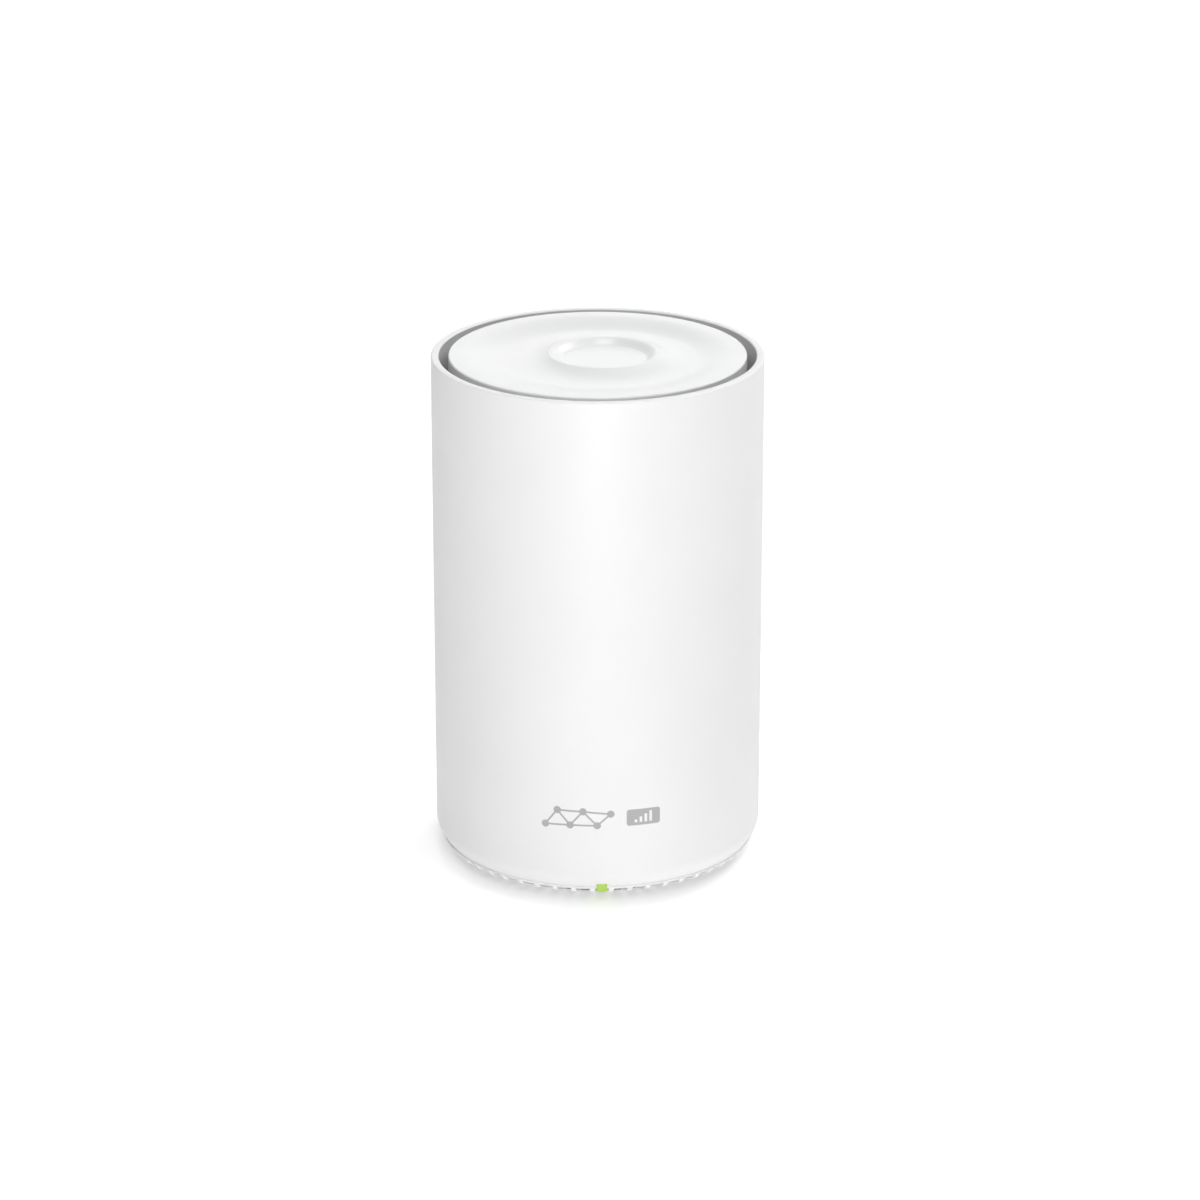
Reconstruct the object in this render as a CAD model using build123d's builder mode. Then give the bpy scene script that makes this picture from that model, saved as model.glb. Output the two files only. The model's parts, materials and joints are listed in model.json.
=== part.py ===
from build123d import *
import math
import os

os.makedirs("parts", exist_ok=True)

# A cylindrical mesh wifi node. Millimetres, +Z up, origin on the floor at the middle of the foot.
# The status light faces -Y, and the sockets face +Y.

# ------------------------------------------------------------------ driving dimensions
# Sleeve
shell_diameter = 108.0
rim_height = 172.0
shell_wall = 2.6
rim_outer_round = 0.65
rim_inner_round = 0.4
lip_height = 6.3
lip_width = 1.2
lip_taper = 4.4
round_radius = 13.0
round_angle = 35.0
cut_start = 1.0  # how far outside the sleeve its cut-outs start

# Base
cone_run = 1.77  # radius lost for each millimetre down the fins' lower edges
underside_height = 0.8
base_floor = 2.2
spigot_gap = 0.2
spigot_wall = 2.0
spigot_below_struts = 0.5
fin_count = 52
fin_thickness = 1.7
fin_rim = 1.0
fin_low = 0.15
fin_foot = 0.65
foot_inner_radius = 34.0
foot_width = 5.5
foot_groove_depth = 1.2
foot_gap = 0.1
foot_round = 0.5
label_radius = 20.0
label_thickness = 0.2
snap_length = 8.0
snap_thickness = 1.5
snap_reach = 1.6
snap_height = 2.8
snap_gap = 0.3

# Top cover and the vent under the gap
vent_gap = 3.1
cover_sheet = 2.0
cover_skirt = 10.0
cover_edge_round = 0.5
cover_band = 4.0
dish_depth = 2.0
dish_run = 2.0  # level run of the dish's edge for each millimetre down
crater_x = 2.2
crater_y = 1.5
crater_crest_radius = 17.4
crater_floor_radius = 15.2
crater_depth = 1.6
crater_crest_width = 1.0
crater_flare = 10.0
flare_radius = 40.0
cover_screw_inset = 4.5
grille_thickness = 2.0
grille_inset = 7.0
grille_rim = 1.0
grille_slots = 72
grille_slot_width = 1.8
grille_slot_length = 2.2
sleeve_clearance = 0.3

# Inner frame
frame_inset = 3.9
deck_thickness = 2.0
lower_deck_height = 10.5
upper_deck_drop = 22.0
lower_deck_opening = 30.0
upper_deck_opening = 34.0
strut_thickness = 2.5
strut_width = 26.0
rib_thickness = 1.6
rib_offset = 10.0
rail_cheek = 2.4
rail_back = 3.0
rail_grip = 6.0
rail_wrap = 1.0
rail_wrap_high = 1.5
rail_extra_low = 4.0
rear_rail_length = 10.0
seat_height = 3.0
panel_rail_width = 5.0
panel_rail_depth = 6.0

# Main board
board_thickness = 1.6
board_left = -8.4
board_bottom = 16.0
board_top_drop = 26.0
board_front_inset = 11.5
board_rear_inset = 4.5
board_corner = 1.5
board_gap = 0.1
board_screw_rise = 14.0
board_screw_drop = 12.0

# Rear panel and its sockets
recess_depth = 7.5
recess_width = 22.0
recess_margin_low = 10.0
recess_margin_high = 16.0
panel_sheet = 2.0
panel_gap = 0.2
collar_wall = 1.6
collar_inset = 0.5
flange_reach = 7.0
panel_screw_inset = 6.0
socket_set_back = 0.3
socket_gap = 0.2
dc_height = 28.0
dc_body = (11.0, 14.0, 9.0)
dc_axis_rise = 6.5
dc_bore_radius = 3.15
dc_bore_depth = 10.0
dc_pin_radius = 1.05
dc_pin_round = 0.63
dc_pin_set_back = 1.0
lan_first_height = 46.0
lan_pitch = 18.0
lan_count = 3
lan_body = (13.3, 21.0, 16.0)
lan_floor = 1.5
lan_mouth_rise = 7.2
lan_mouth_width = 11.9
lan_latch_rise = 2.6
lan_latch_width = 6.4
lan_depth = 14.0
lan_contacts_per_socket = 8
lan_contact_pitch = 1.02
lan_contact_width = 0.45
lan_contact_inset = 2.0
lan_contact_rise = 1.6
lan_contact_wire = 0.4
sim_above_lan = 20.0
sim_card_size = (0.67, 12.3, 8.8)
sim_card_round = 0.8
sim_card_key = 1.67
sim_gap = 0.12
sim_socket_floor = 0.4
sim_socket_roof = 0.3
sim_socket_width = 14.0
sim_socket_depth = 16.0
sim_push = 0.9
sim_set_back = 0.5
sim_window_gap = (0.2, 0.4)

# Reset button
reset_y = 26.0
reset_rise = 2.3
button_radius = 2.05
button_guide_gap = 0.15
button_guide_wall = 1.6
button_guide_height = 3.5
button_set_back = 0.5
button_flange_radius = 3.1
button_flange_thickness = 1.0
button_stem_radius = 1.1
button_round = 0.3
switch_rise = 0.5
switch_size = (4.6, 6.0, 6.0)
switch_plunger_radius = 1.2
switch_plunger_gap = 0.15
switch_plunger_out = 2.3
switch_plunger_in = 2.0
switch_bore_depth = 3.0

# Status light
light_width = 3.3
light_low = 5.0
light_high = 7.9
light_gap = 0.1
light_proud = 0.3
light_depth = 8.5
light_round = 0.4
light_notch_depth = 10.4
led_size = (1.6, 1.2, 0.8)
led_clearance = 0.2
led_board_size = (16.0, 8.0, 0.8)
led_post_radius = 1.2
led_post_root = 0.5
led_board_edge = 0.4
led_board_inset = 1.0
header_size = (4.0, 5.0, 6.0)
header_from_sink = 6.0
header_from_board = 8.0

# Chips, shields and heat sinks
chip_height = 1.4
memory_height = 1.1
inner_pad = 0.6
inner_pad_inset = 0.5
shield_sheet = 0.3
outer_pad = 1.0
outer_pad_margin = 1.0
module_size = (2.4, 30.0, 30.0)
module_corner = 1.0
module_pad = 1.2
module_pad_inset = 2.0
sink_low = 40.0
sink_top_drop = 11.0
sink_sheet = 2.4
sink_fin = 1.4
sink_fin_count = 7
sink_to_rail = 2.0
sink_to_sockets = 5.0
sink_to_strut = 5.0
sink_post_radius = 3.0
sink_screw_inset = 4.0
transformer_size = (3.0, 8.0, 12.0)
transformer_offset = 8.0
capacitor_radius = 3.2
capacitor_height = 8.0
capacitor_round = 0.4
capacitor_pitch = 9.0
capacitor_to_switch = 2.6
below_inlet = 4.0
inductor_size = (4.0, 7.0, 7.0)
inductor_corner = 1.2

# Antennas and cables
antenna_size = (0.8, 14.0, 50.0)
antenna_drop = 4.0
feed_drop = 12.0
feed_window = 4.0
feed_turn_inset = 9.5
coax_radius = 0.6
coax_rise = 0.2
plug_radius = 1.3
plug_height = 1.4
plug_spread = 12.0
plug_drop = 5.0
led_cable_radius = 0.8
led_cable_offset = 5.0
cable_opening_width = 6.0
cable_opening_rim = 1.5

# Screws: shank radius, head radius, head height
large_screw = (1.25, 2.6, 1.6)
small_screw = (1.0, 1.9, 1.3)
thread_gap = 0.05
shank_gap = 0.2
head_gap = 0.2
head_wall = 0.9
boss_wall = 2.2
boss_height = 5.0
tip_gap = 1.0

# ------------------------------------------------------------------ derived places
shell_radius = shell_diameter / 2
shell_inner_radius = shell_radius - shell_wall
round_top = lip_height + round_radius * math.sin(math.radians(round_angle))
lip_radius = shell_radius - round_radius * (1 - math.cos(math.radians(round_angle)))
lip_inner_radius = lip_radius - lip_width
spigot_radius = lip_inner_radius - spigot_gap
spigot_inner_radius = spigot_radius - spigot_wall
cone_foot_radius = lip_radius - (lip_height - fin_low) * cone_run
base_top = underside_height + base_floor
foot_radius = foot_inner_radius + foot_width
groove_top = underside_height + foot_groove_depth
foot_screw_circle = foot_inner_radius + foot_width / 2

frame_radius = shell_inner_radius - frame_inset
strut_inner_radius = frame_radius - strut_thickness
lower_deck_top = lower_deck_height + deck_thickness
spigot_top = lower_deck_top - spigot_below_struts
upper_deck_height = rim_height - upper_deck_drop
upper_deck_top = upper_deck_height + deck_thickness

cover_radius = shell_inner_radius - vent_gap
grille_radius = shell_inner_radius - sleeve_clearance
grille_inner_radius = grille_radius - grille_inset
cover_screw_circle = grille_inner_radius - cover_screw_inset

board_right = board_left + board_thickness
board_middle = (board_left + board_right) / 2
board_front = -(frame_radius - board_front_inset)
panel_face = shell_radius - recess_depth
panel_back = panel_face - panel_sheet
board_rear = panel_face - board_rear_inset
board_top = rim_height - board_top_drop
socket_face = panel_face - socket_set_back
lan_heights = [lan_first_height + i * lan_pitch for i in range(lan_count)]
sim_height = lan_heights[-1] + sim_above_lan
recess_low = dc_height - recess_margin_low
recess_high = sim_height + recess_margin_high
recess_middle = (recess_low + recess_high) / 2
recess_length = recess_high - recess_low
panel_rail_x = recess_width / 2 + collar_wall + panel_rail_width / 2
panel_screw_heights = (recess_low + panel_screw_inset, recess_high - panel_screw_inset)
panel_screw_places = [(x, z) for x in (-panel_rail_x, panel_rail_x) for z in panel_screw_heights]
rail_end = board_front + rail_grip
rail_width = board_thickness + 2 * board_gap + 2 * rail_cheek
board_screw_y = board_front + rail_grip / 2
board_screw_places = [
    (board_screw_y, board_bottom + board_screw_rise),
    (board_screw_y, board_top - board_screw_drop),
]

sim_slot = sim_card_size[0] + 2 * sim_gap
sim_x = board_right + sim_socket_floor + sim_slot / 2
sim_end = panel_face - sim_set_back

reset_x = board_right + reset_rise
guide_radius = button_radius + button_guide_gap
guide_top = base_top + button_guide_height
switch_low = board_bottom + switch_rise
plunger_low = switch_low - switch_plunger_out

sink_front = rail_end + sink_to_rail
sink_rear = socket_face - lan_body[1] - sink_to_sockets
sink_middle = (sink_front + sink_rear) / 2
sink_high = board_top - sink_top_drop
sink_centre = (sink_low + sink_high) / 2
shield_top = board_right + chip_height + inner_pad + shield_sheet
right_sink_face = shield_top + outer_pad
left_sink_face = board_left - module_size[0] - module_pad
sink_reach = math.sqrt(2) * (strut_inner_radius - sink_to_strut) + sink_front
sink_screws = [
    (y, z)
    for y in (sink_front + sink_screw_inset, sink_rear - sink_screw_inset)
    for z in (sink_low + sink_screw_inset, sink_high - sink_screw_inset)
]
plug_height_on_board = board_top - plug_drop
feed_height = upper_deck_height - feed_drop


def level(z):
    """Level plane at height z."""
    return Plane.XY.offset(z)


def upright(y):
    """Upright plane at y: local axes X and Z, and a positive extrusion goes towards the front."""
    return Plane.XZ.offset(-y)


def sideways(x):
    """Upright plane at x: local axes Y and Z, and a positive extrusion goes towards +X."""
    return Plane.YZ.offset(x)


def cone_height(radius):
    """Height of the conical underside at a radius."""
    return lip_height - (lip_radius - radius) / cone_run


def corner_radii(points):
    """Arc radius for each inner point of a cable's route, as large as its two runs allow."""
    radii = []
    for before, corner, after in zip(points, points[1:], points[2:]):
        arriving = Vector(corner) - Vector(before)
        leaving = Vector(after) - Vector(corner)
        turn = math.radians(arriving.get_angle(leaving))
        shorter = min(arriving.length, leaving.length)
        radii.append(0.45 * shorter / math.tan(turn / 2))
    return radii


# ------------------------------------------------------------------ casing
with BuildPart() as outer_shell:
    with BuildSketch(Plane.XZ):
        with BuildLine():
            bend = CenterArc((shell_radius - round_radius, round_top), round_radius, 0, -round_angle)
            Polyline(
                bend @ 1,
                (lip_inner_radius, lip_height),
                (shell_inner_radius, lip_height + lip_taper),
                (shell_inner_radius, rim_height),
                (shell_radius, rim_height),
                bend @ 0,
            )
        make_face()
    revolve(axis=Axis.Z)
    rim = outer_shell.edges().filter_by(GeomType.CIRCLE).group_by(Axis.Z)[-1]
    fillet(rim.sort_by(SortBy.RADIUS)[-1], rim_outer_round)
    rim = outer_shell.edges().filter_by(GeomType.CIRCLE).group_by(Axis.Z)[-1]
    fillet(rim.sort_by(SortBy.RADIUS)[0], rim_inner_round)
    # Cut-out for the recessed socket panel
    with BuildSketch(upright(shell_radius + cut_start)):
        with Locations((0, recess_middle)):
            SlotOverall(recess_length + 2 * panel_gap, recess_width + 2 * panel_gap, rotation=90)
    extrude(amount=shell_radius / 2, mode=Mode.SUBTRACT)
    # Notch for the status light
    with BuildSketch(upright(-shell_radius - cut_start)):
        with Locations((0, light_high + light_gap)):
            Rectangle(light_width + 2 * light_gap, 2 * light_high, align=(Align.CENTER, Align.MAX))
    extrude(amount=-light_notch_depth, mode=Mode.SUBTRACT)
    # Pockets that the base's snap hooks spring into
    with BuildSketch(level(lip_height + snap_height - snap_gap)):
        with PolarLocations(spigot_radius, 4, start_angle=45):
            Rectangle(2 * (snap_reach + snap_gap), snap_length + 2 * snap_gap)
    extrude(amount=snap_thickness + 2 * snap_gap, mode=Mode.SUBTRACT)
outer_shell.part.label = "outer_shell"
export_step(outer_shell.part, "parts/outer_shell.step")

cover_dish_radius = cover_radius - cover_band
dish_height = rim_height - dish_depth
cover_floor = dish_height - cover_sheet
with BuildPart() as top_cover:
    # Disc with a level outer band, a shallow dish inside it and a skirt below
    with BuildSketch(Plane.XZ):
        with BuildLine():
            Polyline(
                (0, dish_height),
                (cover_dish_radius - dish_run * dish_depth, dish_height),
                (cover_dish_radius, rim_height),
                (cover_radius, rim_height),
                (cover_radius, rim_height - cover_skirt),
                (cover_radius - cover_sheet, rim_height - cover_skirt),
                (cover_radius - cover_sheet, cover_floor),
                (0, cover_floor),
                close=True,
            )
        make_face()
    revolve(axis=Axis.Z)
    fillet(top_cover.edges().filter_by(GeomType.CIRCLE).sort_by(SortBy.RADIUS)[-1:], cover_edge_round)
    # Off-centre ring with flared sides and a sunken floor
    crater_axis = Axis((crater_x, crater_y, 0), (0, 0, 1))
    with BuildSketch(Plane.XZ.offset(-crater_y)):
        with BuildLine():
            crest = (crater_x + crater_crest_radius, rim_height)
            foot = (crater_x + crater_crest_radius + crater_flare, dish_height)
            RadiusArc(foot, crest, flare_radius)
            Polyline(
                crest,
                (crater_x + crater_crest_radius - crater_crest_width, rim_height),
                (crater_x + crater_floor_radius, rim_height - crater_depth),
                (crater_x, rim_height - crater_depth),
                (crater_x, cover_floor),
                (foot[0], cover_floor),
                foot,
            )
        make_face()
    revolve(axis=crater_axis)
    # Bosses that stand on the upper deck
    with BuildSketch(level(upper_deck_top)):
        with PolarLocations(cover_screw_circle, 4):
            Circle(large_screw[0] + boss_wall)
    extrude(amount=cover_floor - upper_deck_top)
    with BuildSketch(level(upper_deck_top)):
        with PolarLocations(cover_screw_circle, 4):
            Circle(large_screw[0] + thread_gap)
    extrude(amount=cover_skirt, mode=Mode.SUBTRACT)
top_cover.part.label = "top_cover"
export_step(top_cover.part, "parts/top_cover.step")

with BuildPart() as vent_grille:
    with BuildSketch(level(upper_deck_top)):
        Circle(grille_radius)
        Circle(grille_inner_radius, mode=Mode.SUBTRACT)
        with PolarLocations(grille_radius - grille_rim - grille_slot_length / 2, grille_slots):
            Rectangle(grille_slot_length, grille_slot_width, mode=Mode.SUBTRACT)
    extrude(amount=grille_thickness)
vent_grille.part.label = "vent_grille"
export_step(vent_grille.part, "parts/vent_grille.step")

with BuildPart() as base:
    with BuildSketch(Plane.XZ):
        with BuildLine():
            Polyline(
                (0, underside_height),
                (cone_foot_radius - fin_foot, underside_height),
                (cone_foot_radius, fin_low),
                (spigot_radius, cone_height(spigot_radius)),
                (spigot_radius, spigot_top),
                (spigot_inner_radius, spigot_top),
                (spigot_inner_radius, cone_height(spigot_inner_radius) + base_floor),
                (cone_foot_radius, base_top),
                (0, base_top),
                close=True,
            )
        make_face()
    revolve(axis=Axis.Z)
    # Radial slots leave a ring of straight fins round the underside
    slot_inner = cone_foot_radius - fin_foot
    slot_outer = spigot_radius - fin_rim
    half_pitch = math.pi / fin_count
    inner_half = slot_inner * math.sin(half_pitch) - fin_thickness / 2
    outer_half = slot_outer * math.sin(half_pitch) - fin_thickness / 2
    with BuildSketch(level(0)):
        with PolarLocations(0, fin_count):
            Polygon(
                (slot_inner, -inner_half),
                (slot_outer, -outer_half),
                (slot_outer, outer_half),
                (slot_inner, inner_half),
                align=None,
            )
    extrude(amount=cone_height(spigot_radius) + base_floor, mode=Mode.SUBTRACT)
    # Groove for the rubber foot and recess for the label
    with BuildSketch(level(underside_height)):
        Circle(foot_radius + foot_gap)
        Circle(foot_inner_radius - foot_gap, mode=Mode.SUBTRACT)
    extrude(amount=foot_groove_depth, mode=Mode.SUBTRACT)
    with BuildSketch(level(underside_height)):
        Circle(label_radius + foot_gap)
    extrude(amount=label_thickness, mode=Mode.SUBTRACT)
    # Screw bosses with their heads under the foot ring
    boss_radius = large_screw[1] + head_gap + head_wall
    with BuildSketch(level(groove_top)):
        with PolarLocations(foot_screw_circle, 4, start_angle=45):
            Circle(boss_radius)
    extrude(amount=lower_deck_height - groove_top)
    with BuildSketch(level(groove_top)):
        with PolarLocations(foot_screw_circle, 4, start_angle=45):
            Circle(large_screw[0] + shank_gap)
    extrude(amount=lower_deck_height, mode=Mode.SUBTRACT)
    with BuildSketch(level(groove_top)):
        with PolarLocations(foot_screw_circle, 4, start_angle=45):
            Circle(large_screw[1] + head_gap)
    extrude(amount=large_screw[2], mode=Mode.SUBTRACT)
    # Guide for the reset button
    with BuildSketch(level(base_top)):
        with Locations((reset_x, reset_y)):
            Circle(guide_radius + button_guide_wall)
    extrude(amount=button_guide_height)
    with BuildSketch(level(underside_height)):
        with Locations((reset_x, reset_y)):
            Circle(guide_radius)
    extrude(amount=guide_top, mode=Mode.SUBTRACT)
    # Window for the light pipe, and two posts for its board
    led_board_low = light_high + led_clearance + led_size[2]
    led_board_rear = -(spigot_inner_radius - led_board_inset - led_board_size[1])
    led_post_x = led_board_size[0] / 2 - led_post_radius - led_board_edge
    led_post_y = led_board_rear - led_post_radius - led_board_edge
    with BuildSketch(level(base_top - led_post_root)):
        with Locations((-led_post_x, led_post_y), (led_post_x, led_post_y)):
            Circle(led_post_radius)
    extrude(amount=led_board_low - base_top + led_post_root)
    with BuildSketch(upright(-shell_radius)):
        with Locations((0, light_low - light_gap)):
            Rectangle(
                light_width + 2 * light_gap,
                light_high - light_low + 2 * light_gap,
                align=(Align.CENTER, Align.MIN),
            )
    extrude(amount=-(light_depth + 3 * light_gap + shell_radius - lip_radius), mode=Mode.SUBTRACT)
    # Snap hooks
    with BuildSketch(level(lip_height + snap_height)):
        with PolarLocations(spigot_radius, 4, start_angle=45):
            Rectangle(2 * snap_reach, snap_length)
    extrude(amount=snap_thickness)
base.part.label = "base"
export_step(base.part, "parts/base.step")

with BuildPart() as foot_ring:
    with BuildSketch(level(0)):
        Circle(foot_radius)
        Circle(foot_inner_radius, mode=Mode.SUBTRACT)
    extrude(amount=groove_top)
    fillet(foot_ring.edges().group_by(Axis.Z)[0], foot_round)
foot_ring.part.label = "foot_ring"
export_step(foot_ring.part, "parts/foot_ring.step")

with BuildPart() as rating_label:
    with BuildSketch(level(underside_height)):
        Circle(label_radius)
    extrude(amount=label_thickness)
rating_label.part.label = "rating_label"
export_step(rating_label.part, "parts/rating_label.step")

with BuildPart() as inner_frame:
    for deck_height, opening in (
        (lower_deck_height, lower_deck_opening),
        (upper_deck_height, upper_deck_opening),
    ):
        with BuildSketch(level(deck_height)):
            Circle(frame_radius)
            Circle(opening, mode=Mode.SUBTRACT)
        extrude(amount=deck_thickness)
    # Four flat struts, each with two ribs that centre the sleeve
    rib_end = math.sqrt(grille_radius**2 - (rib_offset + rib_thickness / 2) ** 2)
    rib_middle = (strut_inner_radius + rib_end) / 2
    with BuildSketch(level(lower_deck_top)):
        with PolarLocations(frame_radius - strut_thickness / 2, 4, start_angle=45):
            Rectangle(strut_thickness, strut_width)
            with Locations((rib_middle - frame_radius + strut_thickness / 2, 0)):
                with GridLocations(0, 2 * rib_offset, 1, 2):
                    Rectangle(rib_end - strut_inner_radius, rib_thickness)
    extrude(amount=upper_deck_top - lower_deck_top)
    # Windows that let the antenna cables through
    with BuildSketch(level(feed_height - feed_window / 2)):
        with PolarLocations(frame_radius - strut_thickness / 2, 4, start_angle=45):
            Rectangle(2 * strut_thickness, feed_window)
    extrude(amount=feed_window, mode=Mode.SUBTRACT)
    # Rails and a seat that grip the main board's edges
    with BuildSketch(level(lower_deck_height)):
        with Locations((board_middle, board_front - board_gap - rail_back)):
            Rectangle(rail_width, rail_back + board_gap + rail_grip, align=(Align.CENTER, Align.MIN))
    extrude(amount=upper_deck_top - lower_deck_height)
    with BuildSketch(level(lower_deck_height)):
        with Locations((board_middle, board_rear + board_gap + rail_wrap)):
            Rectangle(
                rail_width,
                board_gap + rail_grip + rail_extra_low,
                align=(Align.CENTER, Align.MAX),
            )
    extrude(amount=board_bottom - lower_deck_height + seat_height)
    with BuildSketch(level(upper_deck_top)):
        with Locations((board_middle, board_rear + board_gap + rail_wrap_high)):
            Rectangle(rail_width, board_gap + rail_grip, align=(Align.CENTER, Align.MAX))
    extrude(amount=-(deck_thickness + rear_rail_length))
    with BuildSketch(level(board_bottom)):
        with Locations((board_middle, (board_front + board_rear) / 2)):
            Rectangle(
                board_thickness + 2 * board_gap,
                board_rear - board_front + 2 * board_gap,
            )
    extrude(amount=board_top + board_gap - board_bottom, mode=Mode.SUBTRACT)
    # Upright rails that the socket panel is screwed to
    with BuildSketch(level(lower_deck_height)):
        with Locations((-panel_rail_x, panel_back), (panel_rail_x, panel_back)):
            Rectangle(panel_rail_width, panel_rail_depth, align=(Align.CENTER, Align.MAX))
    extrude(amount=upper_deck_top - lower_deck_height)
    with BuildSketch(upright(panel_back)):
        with Locations(*panel_screw_places):
            Circle(small_screw[0] + thread_gap)
    extrude(amount=panel_rail_depth, mode=Mode.SUBTRACT)
    # Bosses for the base screws, and holes for the top cover's
    with BuildSketch(level(lower_deck_top)):
        with PolarLocations(foot_screw_circle, 4, start_angle=45):
            Circle(large_screw[0] + boss_wall)
    extrude(amount=boss_height)
    with BuildSketch(level(lower_deck_height)):
        with PolarLocations(foot_screw_circle, 4, start_angle=45):
            Circle(large_screw[0] + thread_gap)
    extrude(amount=deck_thickness + boss_height, mode=Mode.SUBTRACT)
    with BuildSketch(level(upper_deck_height)):
        with PolarLocations(cover_screw_circle, 4):
            Circle(large_screw[0] + shank_gap)
    extrude(amount=deck_thickness, mode=Mode.SUBTRACT)
    # Opening in the lower deck above the status light's cable
    cable_x = led_cable_offset
    cable_y = led_board_rear - led_board_size[1] / 2
    with BuildSketch(level(lower_deck_height)):
        with Locations((cable_x, cable_y)):
            Rectangle(cable_opening_width, 2 * (frame_radius + cable_y - cable_opening_rim))
    extrude(amount=deck_thickness, mode=Mode.SUBTRACT)
    # Cross holes for the two screws that lock the board
    with BuildSketch(sideways(board_middle - rail_width / 2)):
        with Locations(*board_screw_places):
            Circle(small_screw[0] + thread_gap)
    extrude(amount=rail_width, mode=Mode.SUBTRACT)
inner_frame.part.label = "inner_frame"
export_step(inner_frame.part, "parts/inner_frame.step")

# ------------------------------------------------------------------ socket panel and sockets
with BuildPart() as rear_panel:
    flange_width = recess_width + 2 * flange_reach
    flange_length = recess_length + 2 * collar_wall
    with BuildSketch(upright(panel_face)):
        with Locations((0, recess_middle)):
            Rectangle(flange_width, flange_length)
    extrude(amount=panel_sheet)
    # Stadium collar that lines the sleeve's cut-out
    with BuildSketch(upright(shell_radius)):
        with Locations((0, recess_middle)):
            SlotOverall(recess_length, recess_width, rotation=90)
            SlotOverall(
                recess_length - 2 * collar_wall,
                recess_width - 2 * collar_wall,
                rotation=90,
                mode=Mode.SUBTRACT,
            )
    extrude(amount=recess_depth + panel_sheet)
    with BuildSketch(level(0)):
        Circle(shell_radius - collar_inset)
    extrude(amount=rim_height, mode=Mode.INTERSECT)
    # Windows for the power, network and card sockets
    dc_window_middle = board_right + dc_body[0] / 2
    lan_window_middle = board_right + lan_body[0] / 2
    with BuildSketch(upright(panel_face)):
        with Locations((dc_window_middle, dc_height)):
            Rectangle(dc_body[0] + 2 * socket_gap, dc_body[2] + 2 * socket_gap)
        with Locations(*[(lan_window_middle, z) for z in lan_heights]):
            Rectangle(lan_body[0] + 2 * socket_gap, lan_body[2] + 2 * socket_gap)
        with Locations((sim_x, sim_height)):
            RectangleRounded(
                sim_slot + 2 * sim_window_gap[0],
                sim_card_size[2] + 2 * sim_window_gap[1],
                2 * sim_window_gap[0],
            )
    extrude(amount=panel_sheet, mode=Mode.SUBTRACT)
    with BuildSketch(upright(panel_face)):
        with Locations(*panel_screw_places):
            Circle(small_screw[0] + shank_gap)
    extrude(amount=panel_sheet, mode=Mode.SUBTRACT)
rear_panel.part.label = "rear_panel"
export_step(rear_panel.part, "parts/rear_panel.step")

with BuildPart() as dc_jack:
    with BuildSketch(sideways(board_right)):
        with Locations((socket_face, dc_height)):
            Rectangle(dc_body[1], dc_body[2], align=(Align.MAX, Align.CENTER))
    extrude(amount=dc_body[0])
    with BuildSketch(upright(socket_face)):
        with Locations((board_right + dc_axis_rise, dc_height)):
            Circle(dc_bore_radius)
    extrude(amount=dc_bore_depth, mode=Mode.SUBTRACT)
dc_jack.part.label = "dc_jack"
export_step(dc_jack.part, "parts/dc_jack.step")

with BuildPart() as dc_jack_pin:
    with BuildSketch(upright(socket_face - dc_bore_depth)):
        with Locations((board_right + dc_axis_rise, dc_height)):
            Circle(dc_pin_radius)
    extrude(amount=-(dc_bore_depth - dc_pin_set_back))
    fillet(dc_jack_pin.edges().sort_by(Axis.Y)[-1], dc_pin_round)
dc_jack_pin.part.label = "dc_jack_pin"
export_step(dc_jack_pin.part, "parts/dc_jack_pin.step")

lan_mouth_low = board_right + lan_floor
for name, height in zip(("lan_jack_lower", "lan_jack_middle", "lan_jack_upper"), lan_heights):
    with BuildPart() as lan_jack:
        with BuildSketch(sideways(board_right)):
            with Locations((socket_face, height)):
                Rectangle(lan_body[1], lan_body[2], align=(Align.MAX, Align.CENTER))
        extrude(amount=lan_body[0])
        with BuildSketch(upright(socket_face)):
            with Locations((lan_mouth_low, height)):
                Rectangle(lan_mouth_rise, lan_mouth_width, align=(Align.MIN, Align.CENTER))
                Rectangle(
                    lan_mouth_rise + lan_latch_rise,
                    lan_latch_width,
                    align=(Align.MIN, Align.CENTER),
                )
        extrude(amount=lan_depth, mode=Mode.SUBTRACT)
    lan_jack.part.label = name
    export_step(lan_jack.part, f"parts/{name}.step")

with BuildPart() as lan_contacts:
    # Sprung wires, each rising from the socket's floor towards its back wall
    contact_front = socket_face - lan_contact_inset
    contact_back = socket_face - lan_depth + lan_contact_inset
    contact_top = lan_mouth_low + lan_contact_rise
    for height in lan_heights:
        for i in range(lan_contacts_per_socket):
            offset_along = (i - (lan_contacts_per_socket - 1) / 2) * lan_contact_pitch
            with BuildSketch(level(height + offset_along - lan_contact_width / 2)):
                Polygon(
                    (lan_mouth_low, contact_front),
                    (contact_top, contact_back),
                    (contact_top - lan_contact_wire, contact_back),
                    (lan_mouth_low, contact_front - 2 * lan_contact_wire),
                    align=None,
                )
            extrude(amount=lan_contact_width)
lan_contacts.part.label = "lan_contacts"
export_step(lan_contacts.part, "parts/lan_contacts.step")

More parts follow.
